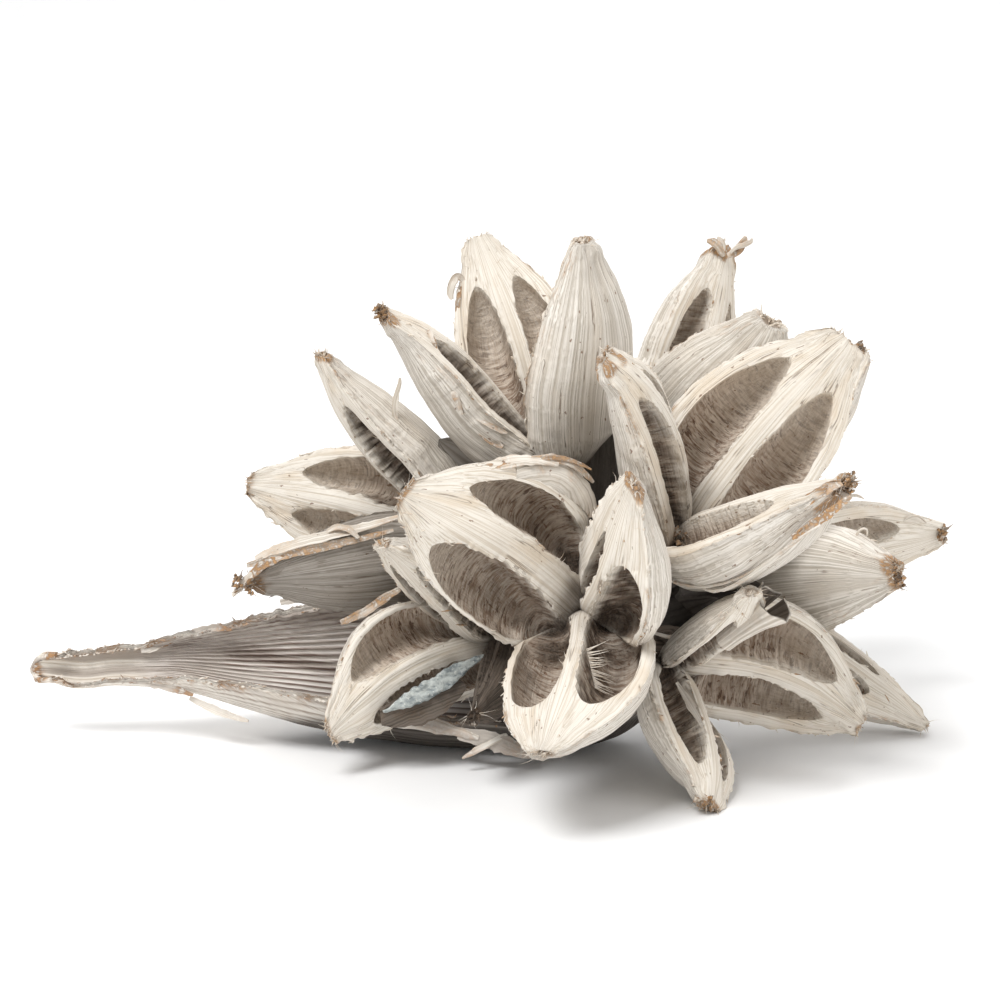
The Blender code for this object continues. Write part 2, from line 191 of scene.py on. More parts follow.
def half_section(valve, share, side, seed):
    """Half of a valve's outline at each share of its length, from the septum's crest out over its
    chamber and rim and down the outer wall. Gives x, y and the masks of chamber, the nook beside its
    septum, wall, edge and bark."""
    crest_count, chamber_count, rim_count, wall_count = valve.columns
    radius = valve.radius
    size = radius * sum(np.interp(share + shift, WIDTH_PLACES, WIDTHS) for shift in (-0.02, 0, 0.02)) / 3
    size = size * (1 + valve.blunt * smooth((share - 0.86) / 0.14))
    half_wedge = np.radians(
        ROOT_FACE_ANGLE + (OPEN_FACE_ANGLE - ROOT_FACE_ANGLE) * smooth(share / 0.4)
    )
    ragged = np.stack([share * valve.length, 0 * share, 0 * share], axis=-1)
    chips = 0.5 * relief(ragged, (0.9, 1, 1), seed + 11) + relief(ragged, (4.0, 1, 1), seed + 12)
    reach = size + 0.5 * valve.torn * chips * np.minimum(1, size / 6)
    rim_x = reach * np.sin(half_wedge)
    rim_y = -reach * np.cos(half_wedge)
    slope = rim_y / rim_x
    thick = 0.13 * radius * np.minimum(1, 1.6 * size / radius)
    turned = np.minimum(share / ROOT_SHARE, 1.0)
    bend = math.radians(valve.opening) * 6 * turned * (1 - turned) / (ROOT_SHARE * valve.length)
    back_y = -np.minimum(size * 0.98, DEEPEST_IN_BEND / np.maximum(bend, 1e-6))
    lip_x = rim_x - 0.21 * radius * valve.rims[side] * np.minimum(1, 1.25 * size / radius)
    waist = 0.75 + 1.3 * (share - 0.45) ** 2
    crest_x = np.minimum(0.23 * radius * valve.septum[side] * waist, 0.6 * lip_x)
    crest_y = 0.8 * (1 - smooth(share / 0.15))

    first, last = valve.pit
    place = (2 * share - first - last) / (last - first)
    power = np.where(place > 0, 4.5, 2.8)  # its chambers end rounder towards the tip
    opened = np.clip(1 - abs(place) ** power, 0, 1) ** 0.5 + 0.6 * smooth((abs(place) - 1.0) * 5)
    depth = np.clip(1 - abs(place) ** power, 0, 1) ** 0.6
    tear = relief(ragged, (0.8, 1, 1), seed) + 0.8 * relief(ragged, (2.6, 1, 1), seed + 1)
    middle = 0.52 * lip_x + 0.48 * crest_x
    half_pit = (lip_x - crest_x) / 2 * (0.03 + 0.97 * opened)
    inner_x = middle - half_pit + valve.torn * tear * depth
    outer_x = middle + half_pit + 0.4 * valve.torn * relief(ragged, (1.7, 1, 1), seed + 2) * depth
    outer_x = np.maximum(outer_x, inner_x + 0.2)

    def face(x):
        """The split face: a raised septum, then the plain slope to the rim."""
        raised = 1 - smooth((x - 0.5 * crest_x) / (2.0 * crest_x))
        return slope * x * (1 - 0.7 * raised)

    t = (np.arange(crest_count) + 1) / crest_count
    x_crest = inner_x * t
    lifted = 0.7 * valve.torn * np.clip(tear, -0.3, 1.2) * depth
    y_crest = face(x_crest) + crest_y * (1 - t**2) - 0.35 * t**2 * depth + lifted * t**5
    across = 0.5 - 0.5 * np.cos(math.pi * (np.arange(chamber_count) + 1) / chamber_count)
    bowl = (1 - abs(2 * across - 1) ** 2.4) ** 0.5 * depth
    undercut = 0.45 * crest_x * smooth(across / 0.2) * (1 - across) ** 3 * depth
    x_pit = inner_x + (outer_x - inner_x) * across - undercut
    chord = y_crest[:, -1:] + (face(outer_x) - y_crest[:, -1:]) * across
    floor = (back_y + thick) * (1 - 0.30 * (x_pit / rim_x) ** 2)
    y_pit = chord + np.minimum(floor - chord, 0) * bowl
    t = (np.arange(rim_count) + 1) / rim_count
    x_rim = outer_x + (rim_x - outer_x) * t
    y_rim = face(x_rim) + 0.35 * np.sin(math.pi * t) * np.minimum(1, size / 5)
    t = math.pi / 2 * ((np.arange(wall_count) + 1) / wall_count) ** (1.9 if wall_count < 20 else 1.5)
    down = t * (size + abs(back_y)) / 2  # how far each point lies from the rim
    wide = valve.peel[0] + (valve.peel[1] - valve.peel[0]) * share
    wide = wide + 0.7 * relief(ragged, (1.3, 1, 1), seed + 13) + 0.8 * relief(ragged, (7, 1, 1), seed + 14)
    second = wide + 2.5 + 1.4 * relief(ragged, (2.2, 1, 1), seed + 15)
    second = second + 1.5 * relief(ragged, (9, 1, 1), seed + 16)
    layer = 0.6 * smooth((down - wide) / 0.25) + 0.4 * smooth((down - second) / 0.3)
    layer = layer * np.minimum(1, size / 6)
    outward = 1 + (0.8 * layer - 0.4) * (0.4 + valve.torn) / radius
    x_wall = rim_x * np.cos(t) * outward
    y_wall = face(rim_x) + (back_y * outward - face(rim_x)) * np.sin(t)

    blank = [np.zeros((len(share), count)) for count in valve.columns]
    edge = np.exp(-((np.arange(rim_count + wall_count) - rim_count + 1.0) / 1.3) ** 2) + blank[2][:, :1]
    bark = np.exp(-(((down - wide) / 0.45) ** 2)) + 0.7 * np.exp(-(((down - second) / 0.45) ** 2))
    return (
        np.hstack([x_crest, x_pit, x_rim, x_wall]),
        np.hstack([y_crest, y_pit, y_rim, y_wall]),
        np.hstack([blank[0], bowl + blank[1], blank[2], blank[3]]),
        np.hstack([blank[0], np.exp(-((across / 0.32) ** 2)) * smooth(5 * bowl), blank[2], blank[3]]),
        np.hstack([blank[0], blank[1], blank[2], blank[3] + 1]),
        np.hstack([blank[0], blank[1], edge]),
        np.hstack([blank[0], blank[1], blank[2], bark]),
    )


def valve_skin(capsule, index, seed):
    """One valve as rings of points, with the marks that its finish reads at each point."""
    valve = capsule.valves[index]
    share = np.linspace(0.0, 1.0, STATIONS)[:, None]
    right = half_section(valve, share, 0, seed)
    left = half_section(valve, share, 1, seed + 5)
    ridge = 0.8 * (1 - smooth(share / 0.15))
    loops = []
    for number, (one, other) in enumerate(zip(right, left)):
        middle = ridge if number == 1 else 0 * share
        mirrored = -other[:, -2::-1] if number == 0 else other[:, -2::-1]
        loops.append(np.hstack([middle, one, mirrored]))
    x, y, chamber, nook, wall, edge, bark = loops

    along = share * valve.length + 0 * x
    spots = np.stack([along, x, y], axis=-1)
    narrow = np.interp(share, WIDTH_PLACES, WIDTHS) * (1 + valve.blunt * smooth((share - 0.86) / 0.14))
    lines = np.stack([along, x / narrow, y / narrow], axis=-1)  # these run with the grain
    face = np.clip(1 - wall - chamber, 0, 1)
    tip = smooth((share - 0.93) / 0.05)
    rough = (
        chamber * (0.07 * relief(spots, (0.9, 5, 5), seed) + 0.22 * relief(spots, (2.6, 2, 2), seed + 1))
        + chamber * 0.16 * relief(spots, (1.4, 1.2, 1.2), seed + 21)
        + chamber * 0.35 * relief(spots, (6, 5, 5), seed + 17)
        + wall * (0.08 * relief(lines, (24, 1.2, 1.2), seed + 2) + 0.6 * relief(spots, (14, 7, 7), seed + 3))
        + face * (0.12 * relief(lines, (16, 1.3, 1.3), seed + 4) + 0.25 * relief(spots, (6, 5, 5), seed + 6))
        + edge * (0.15 + valve.torn) * relief(spots, (1.5, 1.3, 1.3), seed + 7)
        + tip * 0.6 * relief(spots, (1.2, 1.0, 1.0), seed + 8)
        + smooth((share - 0.86) / 0.1) * 0.9 * relief(spots, (3.5, 2.4, 2.4), seed + 18)
    )
    steps_x = np.roll(x, -1, axis=1) - np.roll(x, 1, axis=1)
    steps_y = np.roll(y, -1, axis=1) - np.roll(y, 1, axis=1)
    length = np.maximum(np.hypot(steps_x, steps_y), 1e-6)
    x, y = x - rough * steps_y / length, y + rough * steps_x / length

    centre, across, into = valve_places(capsule, index, share[:, 0])
    points = centre[:, None] + across[:, None] * x[..., None] + into[:, None] * y[..., None]
    middle = points[-3].mean(axis=0)  # the broken end is a small crumbly cup
    points[-2] = points[-3] + 0.35 * (points[-2] - points[-3]) + 0.15 * (middle - points[-3])
    points[-1] = middle + 0.45 * (points[-3] - middle) + 1.1 * (centre[-9] - centre[-3]) / 8
    worn = relief(spots, (5, 3, 3), seed + 9)
    stain = np.clip(
        smooth((share - 1 + valve.brown * (1 + 0.9 * worn)) / 0.02) * smooth(1.1 + 1.6 * worn)
        + edge * smooth((worn - 0.25) / 0.4) * 0.7
        + bark * smooth((worn + 0.1) / 0.6) * (0.2 + 0.4 * smooth((share - 0.6) / 0.3)), 0, 1,
    )
    # Painted shade, with some dirt at the roots: darker towards each valve's root, in its chambers and in
    # holes beside its septum, and over the whole of valves that lie in shadow.
    deep = smooth((0.26 - share) / 0.26) + 0.35 * smooth((0.55 - share) / 0.35) * (0.7 + worn)
    shaded_holes = smooth((relief(spots, (1.1, 0.9, 0.9), seed + 20) + 0.25) / 0.3)
    hollow = smooth(3.2 * chamber)
    painted_chamber_shade = valve.gloom * (hollow * (0.45 + 0.3 * worn) + 0.9 * nook * shaded_holes)
    deep = np.clip(deep * (0.8 + 0.3 * worn) + valve.dark + painted_chamber_shade, 0, 1)
    paler = 1 - 0.45 * smooth((share - 0.35) / 0.35) * (1 - 0.8 * valve.gloom)
    marks = {"chamber": hollow * paler, "wall": wall, "stain": stain, "deep": deep}
    grain = (lines + np.array((100.0 * seed, 0, 0))) * MM
    return points, marks, grain


def ring_faces(rows, columns, start):
    """Quads between rings of points, and a cap on each end. The rings go clockwise, seen from the
    far end."""
    index = start + np.arange(rows * columns).reshape(rows, columns)
    one, two = index[:-1], index[1:]
    quads = np.stack([one, two, np.roll(two, -1, axis=1), np.roll(one, -1, axis=1)], axis=-1)
    return [*quads.reshape(-1, 4).tolist(), index[0].tolist(), index[-1, ::-1].tolist()]


def tube_rings(path, radii, sides):
    """Clockwise rings along a path of points, with a radius at each."""
    path = np.array(path, float)
    ahead = np.gradient(path, axis=0)
    ahead /= np.linalg.norm(ahead, axis=1)[:, None]
    hint = np.eye(3)[np.argmin(abs(ahead).sum(axis=0))]
    across = np.cross(ahead, hint)
    across /= np.linalg.norm(across, axis=1)[:, None]
    other = np.cross(ahead, across)
    turn = -2 * math.pi * np.arange(sides) / sides
    ring = np.cos(turn)[:, None] * across[:, None] + np.sin(turn)[:, None] * other[:, None]
    return path[:, None] + ring * np.array(radii, float)[:, None, None]


class Skin:
    """Points, faces and marks gathered for one piece, in millimetres."""

    def __init__(self, *marks):
        self.points = []
        self.faces = []
        self.grain = []
        self.count = 0
        self.marks = {name: [] for name in marks}

    def add(self, rings, marks, grain=None):
        rows, columns = rings.shape[:2]
        self.faces += ring_faces(rows, columns, self.count)
        self.points.append(rings.reshape(-1, 3))
        self.grain.append((rings * MM if grain is None else grain).reshape(-1, 3))
        for name, values in self.marks.items():
            values.append(np.broadcast_to(marks.get(name, 0.0), (rows, columns)).reshape(-1))
        self.count += rows * columns

    def make(self, name, finish, slot, *nodes):
        mesh = bpy.data.meshes.new(name)
        points = np.concatenate(self.points)
        points[:, 2] = np.maximum(points[:, 2], 0.0)
        mesh.from_pydata((points * MM).tolist(), [], self.faces)
        mesh.attributes.new("grain", "FLOAT_VECTOR", "POINT").data.foreach_set(
            "vector", np.concatenate(self.grain).ravel().astype(np.float32))
        for mark, values in self.marks.items():
            mesh.attributes.new(mark, "FLOAT", "POINT").data.foreach_set(
                "value", np.concatenate(values).astype(np.float32))
        mesh.materials.append(finish)
        mesh.shade_smooth()
        mesh.set_sharp_from_angle(angle=math.radians(55))
        piece = bpy.data.objects.new(name, mesh)
        bpy.context.scene.collection.objects.link(piece)
        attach(piece, "root")
        if nodes:
            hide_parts(*nodes)
        return piece


def tone(red, green, blue):
    """A colour as a photograph gives it, 0 to 255, turned into the shader's values."""
    return tuple(((c / 255 + 0.055) / 1.055) ** 2.4 for c in (red, green, blue)) + (1.0,)


class Finish:
    """A material, and short ways to add nodes to it."""

    def __init__(self, name, roughness):
        self.material = bpy.data.materials.new(name)
        self.material.use_nodes = True
        self.tree = self.material.node_tree
        self.shader = self.tree.nodes["Principled BSDF"]
        self.shader.inputs["Roughness"].default_value = roughness
        self.shader.inputs["Specular IOR Level"].default_value = 0.25

    def node(self, kind, inputs, **settings):
        made = self.tree.nodes.new("ShaderNode" + kind)
        for key, value in settings.items():
            setattr(made, key, value)
        for key, value in inputs.items():
            if isinstance(value, bpy.types.NodeSocket):
                self.tree.links.new(value, made.inputs[key])
            else:
                made.inputs[key].default_value = value
        return made

    def mark(self, name, output="Fac"):
        return self.node("Attribute", {}, attribute_name=name).outputs[output]

    def maths(self, operation, one, two=0.0):
        return self.node("Math", {0: one, 1: two}, operation=operation).outputs[0]

    def noise(self, place, stretch, detail=4.0, roughness=0.6):
        """Fractal noise with this many bumps a metre in each direction."""
        stretched = self.node("VectorMath", {0: place, 1: stretch}, operation="MULTIPLY").outputs[0]
        return self.node(
            "TexNoise", {"Vector": stretched, "Scale": 1.0, "Detail": detail, "Roughness": roughness}
        ).outputs["Fac"]

    def between(self, value, low, high):
        """0 where the value is low, 1 where it is high."""
        return self.node(
            "MapRange", {"Value": value, "From Min": low, "From Max": high}, interpolation_type="SMOOTHSTEP"
        ).outputs["Result"]

    def mix(self, share, one, two):
        """The first colour, with this share of the second laid over it."""
        return self.node("Mix", {0: share, 6: one, 7: two}, data_type="RGBA").outputs[2]

    def over(self, colour, mark, amount, other):
        """A colour with another laid over it where a mark is high, up to this amount."""
        return self.mix(self.maths("MULTIPLY", mark, amount), colour, other)

    def bump(self, height, distance):
        made = self.node("Bump", {"Height": height, "Distance": distance, "Strength": 1.0})
        self.tree.links.new(made.outputs["Normal"], self.shader.inputs["Normal"])

    def colour(self, value):
        self.tree.links.new(value, self.shader.inputs["Base Color"])


husk = Finish("bleached_husk", 0.88)
grain = husk.mark("grain", "Vector")
chamber = husk.mark("chamber")
stain = husk.mark("stain")
streaks = husk.noise(grain, (16, 1900, 1900), 2, 0.55)
broad = husk.noise(grain, (10, 240, 240), 2, 0.55)
threads = husk.noise(grain, (1500, 210, 210), 2, 0.7)
clouds = husk.noise(grain, (60, 100, 100), 3, 0.55)
crumbs = husk.noise(grain, (900, 900, 900), 2, 0.6)
crack_line = husk.maths("ABSOLUTE", husk.maths("SUBTRACT", husk.noise(grain, (12, 380, 380), 2, 0.5), 0.5))
cracks = husk.maths("MULTIPLY", husk.between(crack_line, 0.014, 0.002), husk.between(clouds, 0.50, 0.60))
outer_wall = husk.mix(husk.between(streaks, 0.32, 0.66), tone(184, 175, 162), tone(232, 226, 217))
outer_wall = husk.over(outer_wall, husk.between(broad, 0.50, 0.74), 0.5, tone(190, 180, 167))
outer_wall = husk.over(outer_wall, husk.between(clouds, 0.50, 0.71), 0.5, tone(220, 210, 196))
split_face = husk.mix(husk.between(streaks, 0.32, 0.59), tone(204, 192, 175), tone(232, 225, 214))
split_face = husk.over(split_face, husk.between(clouds, 0.50, 0.71), 0.5, tone(214, 196, 172))
inside = husk.mix(husk.between(threads, 0.31, 0.66), tone(142, 120, 102), tone(216, 203, 188))
inside = husk.over(inside, husk.between(clouds, 0.42, 0.67), 0.6, tone(174, 156, 139))
dashes = husk.between(husk.noise(grain, (900, 200, 200), 3, 0.6), 0.59, 0.65)
inside = husk.over(inside, dashes, 0.8, tone(88, 64, 48))
pores = husk.between(husk.noise(grain, (420, 300, 300), 4, 0.65), 0.58, 0.66)
inside = husk.over(inside, pores, 0.55, tone(112, 86, 68))
colour = husk.mix(husk.mark("wall"), split_face, outer_wall)
colour = husk.over(colour, cracks, 0.7, tone(110, 92, 76))
colour = husk.mix(husk.between(chamber, 0.10, 1.00), colour, inside)
brown = husk.mix(husk.between(crumbs, 0.33, 0.67), tone(94, 66, 46), tone(190, 152, 112))
colour = husk.over(colour, stain, husk.between(crumbs, 0.28, 0.545), brown)
specks = husk.between(husk.noise(grain, (480, 640, 640), 2, 0.5), 0.70, 0.74)
colour = husk.over(colour, specks, 0.75, tone(118, 86, 62))
# Painted shade, and some dirt at the roots, laid over the colour where the shade mark is high.
shadow = husk.mix(husk.between(streaks, 0.27, 0.67), tone(34, 26, 21), tone(84, 70, 58))
husk.colour(husk.over(colour, husk.mark("deep"), 0.93, shadow))
height = husk.maths("ADD", husk.maths("MULTIPLY", streaks, 0.48), husk.maths("MULTIPLY", crumbs, 0.27))
furrows = husk.maths("MULTIPLY", husk.maths("MULTIPLY", threads, chamber), 0.82)
husk.bump(husk.maths("ADD", height, furrows), 0.0006)

chance = np.random.default_rng(11)
HUSK_MARKS = ("chamber", "wall", "stain", "deep")


def unit(vector):
    return np.array(vector, float) / np.linalg.norm(vector)


def add_fibre(skin, start, ahead, length, width, bend, stain, deep=0.0, sides=4):
    """A fine tapered fibre that leaves a surface and bends at random."""
    steps = np.linspace(0, 1, 5)[:, None]
    sway = unit(chance.normal(size=3)) * bend * length
    path = np.array(start) + unit(ahead) * length * steps + sway * steps**2
    skin.add(tube_rings(path, width / 2 * (1.05 - steps[:, 0]), sides), {"stain": stain, "deep": deep})


def add_lump(skin, at, size, stain, deep=0.0):
    """A crumb of dry tissue."""
    turn = unit(chance.normal(size=3))
    steps = np.linspace(-1, 1, 6)
    path = np.array(at) + turn * 1.3 * size * steps[:, None]
    rings = tube_rings(path, 0.8 * size * (1.03 - steps**2), 7)
    rings = rings + 0.9 * size * relief(rings, (size, size, size), stain)[..., None]
    skin.add(rings, {"stain": stain, "deep": deep})


def add_fray(skin, ring, ahead, reach, count, stain, deep):
    """The crumbly end of a valve: short splinters and crumbs that point on from around its tip."""
    middle = ring.mean(axis=0)
    for _ in range(count):
        start = middle + (ring[chance.integers(len(ring))] - middle) * chance.random() ** 0.5
        way = ahead + 0.5 * chance.normal(size=3)
        length = reach * (0.3 + 0.7 * chance.random() ** 2)
        wide = 0.3 + 0.6 * chance.random()
        add_fibre(skin, start - ahead * 0.8, way, length, wide, 0.25, stain * chance.random(), deep)
    for _ in range(count // 3):
        spot = middle + (ring[chance.integers(len(ring))] - middle) * chance.random()
        add_lump(skin, spot, 0.2 + 0.4 * chance.random(), stain, deep + 0.2)


def ribbon_rings(path, widths, thickness, upward, curl, seed, columns=7):
    """A thin strip along a path: its width at each point, how far its sides curl up, ragged edges."""
    path = np.array(path, float)
    ahead = np.gradient(path, axis=0)
    ahead /= np.linalg.norm(ahead, axis=1)[:, None]
    across = np.cross(ahead, upward)
    across /= np.linalg.norm(across, axis=1)[:, None]
    up = np.cross(across, ahead)
    t = np.linspace(-0.5, 0.5, columns)
    ragged = np.stack([path, path + 40], axis=1)
    edge = relief(ragged, (1.3, 1.3, 1.3), seed) * 0.25 * min(1, 5 / max(widths))
    half = np.array(widths, float)[:, None] * (1 + np.where(t < 0, edge[:, :1], edge[:, 1:]))
    lift = curl * (2 * t) ** 2 * half / 2
    middle = path[:, None] + across[:, None] * (t * half)[..., None] + up[:, None] * lift[..., None]
    middle = middle + up[:, None] * 0.25 * relief(middle, (2.5, 2.5, 2.5), seed + 1)[..., None]
    thick = thickness / 2 * (1.15 - (2 * abs(t)) ** 4)
    top = middle + up[:, None] * thick[:, None]
    low = middle - up[:, None] * thick[:, None]
    return np.concatenate([low, top[:, ::-1]], axis=1)


def ribbon_grain(along, widths, columns, shift):
    """Places for a strip's grain to run along it: how far along, how far across, and no depth."""
    side = np.concatenate([np.arange(columns), np.arange(columns)[::-1]]) / (columns - 1)
    along, across = np.broadcast_arrays(along[:, None], widths[:, None] * side)
    return (np.stack([along, across, 0 * across], axis=-1) + shift) * MM


VALVES = {}  # the points of each valve, which later pieces are set on
for number, capsule in enumerate(CAPSULES):
    body = Skin(*HUSK_MARKS)
    axis = capsule_axes(capsule)[0]
    seat = np.array(capsule.seat)
    drop = np.linspace(-STALK_LENGTH, 1.8, 40)
    share = np.interp(-drop, (-1.8, 1.0, 4.5, 8.0, 10.5, 13.0), (0.80, 0.98, 0.86, 0.58, 0.46, 0.43))
    spine = seat + drop[:, None] * axis
    knob = tube_rings(spine, SEAT_RADIUS * share, 48)
    knob = knob + (knob - spine[:, None]) * 0.08 * relief(knob, (3, 3, 3), number)[..., None]
    # The knob lies hidden among the valves and is wholly under painted shade.
    body.add(knob, {"wall": 1.0, "stain": 0.3, "deep": 1.0})
    for index in range(len(capsule.valves)):
        points, marks, valve_grain = valve_skin(capsule, index, 20 * number + 6 * index)
        VALVES[capsule.name, index] = points
        body.add(points, marks, valve_grain)
    body.make("husk_" + capsule.name, husk.material, "capsule", capsule.name)

# Frayed tips and loose fibres
# Where the fruit's style broke off, each valve ends in brown splinters and crumbs. Fine pale fibres
# stand on the torn edges of the septum and the rims. They grow from the husk and are part of it.

FIBRES_A_VALVE = 26
CHIPS_A_VALVE = 58
Tuft = namedtuple("Tuft", "capsule place spread way reach count")
TUFTS = (
    Tuft(1, (82.5, -66.5, 81.5), (1.0, 1.0, 1.6), (1, -0.4, 0.3), 3.0, 26),
    Tuft(1, (30.5, -43, 92.5), (1.2, 0.8, 1.2), (-1, -0.5, 0.2), 2.0, 12),
    Tuft(2, (-26.6, -12.5, 112.6), (0.9, 0.9, 1.2), (-1, -0.2, -0.7), 3.4, 30),
    Tuft(3, (96.5, 48.5, 91.5), (0.8, 0.8, 1.2), (1, -0.1, 0.2), 2.4, 16),
    Tuft(4, (117.0, 34.0, 46.0), (0.9, 0.8, 1.2), (1, -0.2, -0.1), 2.6, 24),
    Tuft(4, (99.2, -24.5, 49.0), (1.0, 0.8, 2.2), (1, -0.5, 0.2), 3.4, 28),
    Tuft(5, (50.8, -61.5, 3.6), (1.4, 0.7, 0.7), (-0.8, -0.4, -0.3), 2.6, 26),
    Tuft(7, (-61, -18.3, 45.4), (1.6, 0.8, 1.4), (-1, -0.1, -0.5), 4.0, 28),
)
for number, capsule in enumerate(CAPSULES):
    loose = Skin(*HUSK_MARKS)
    for index, valve in enumerate(capsule.valves):
        points = VALVES[capsule.name, index]
        ahead = unit(points[-1].mean(axis=0) - points[-8].mean(axis=0))
        # Tips, fibres and chips take their valve's painted shade, and more of it near the root.
        add_fray(loose, points[-2], ahead, 3.2, 18, min(1, 22 * valve.brown), valve.dark)
        for _ in range(FIBRES_A_VALVE):
            row = chance.integers(12, STATIONS - 12)
            crest, chamber_end, rim_end = np.cumsum(valve.columns[:3])
            column = chance.choice((crest, chamber_end, rim_end))
            column = column if chance.random() < 0.5 else points.shape[1] - column
            outward = unit(points[row, column] - points[row].mean(axis=0))
            way = outward * 0.5 + 0.8 * chance.normal(size=3)
            deep = max(valve.dark, 0.8 * (row < 0.25 * STATIONS))
            length = 1.0 + 2.0 * chance.random() ** 2
            add_fibre(loose, points[row, column], way, length, 0.16, 0.5, 0.5 * chance.random(), deep)
        for _ in range(CHIPS_A_VALVE):
            row = chance.integers(8, STATIONS - 2)
            column = chance.choice((crest, rim_end, rim_end + 1, rim_end + 2))
            column = column if chance.random() < 0.5 else points.shape[1] - column
            ahead_here = unit(points[min(row + 1, STATIONS - 1), column] - points[row - 1, column])
            outward = unit(points[row, column] - points[row].mean(axis=0))
            way = ahead_here + 0.35 * outward + 0.3 * chance.normal(size=3)
            size = 0.8 + 2.4 * chance.random() ** 2
            path = points[row, column] + unit(way) * size * np.array((-0.5, 0.0, 0.5))[:, None]
            chip = tube_rings(path, (0.06, 0.12 + 0.22 * chance.random(), 0.05), 4)
            deep = max(valve.dark, 0.8 * (row < 0.25 * STATIONS))
            loose.add(chip, {"stain": chance.random() ** 3, "deep": deep})
    for tuft in TUFTS:
        if tuft.capsule == number:
            for _ in range(tuft.count):
                start = np.array(tuft.place) + chance.uniform(-1.4, 1.4, 3) * tuft.spread
                way = unit(tuft.way) + 0.6 * chance.normal(size=3)
                length = tuft.reach * (0.15 + 0.7 * chance.random() ** 2)
                dark = 0.7 * chance.random()
                add_fibre(loose, start, way, length, 0.2 + 0.4 * chance.random(), 0.6, 1.0, dark)
                add_lump(loose, start + 0.4 * unit(way), 0.25 + 0.5 * chance.random(), 1.0, dark)
    loose.make("fray_" + capsule.name, husk.material, "capsule")
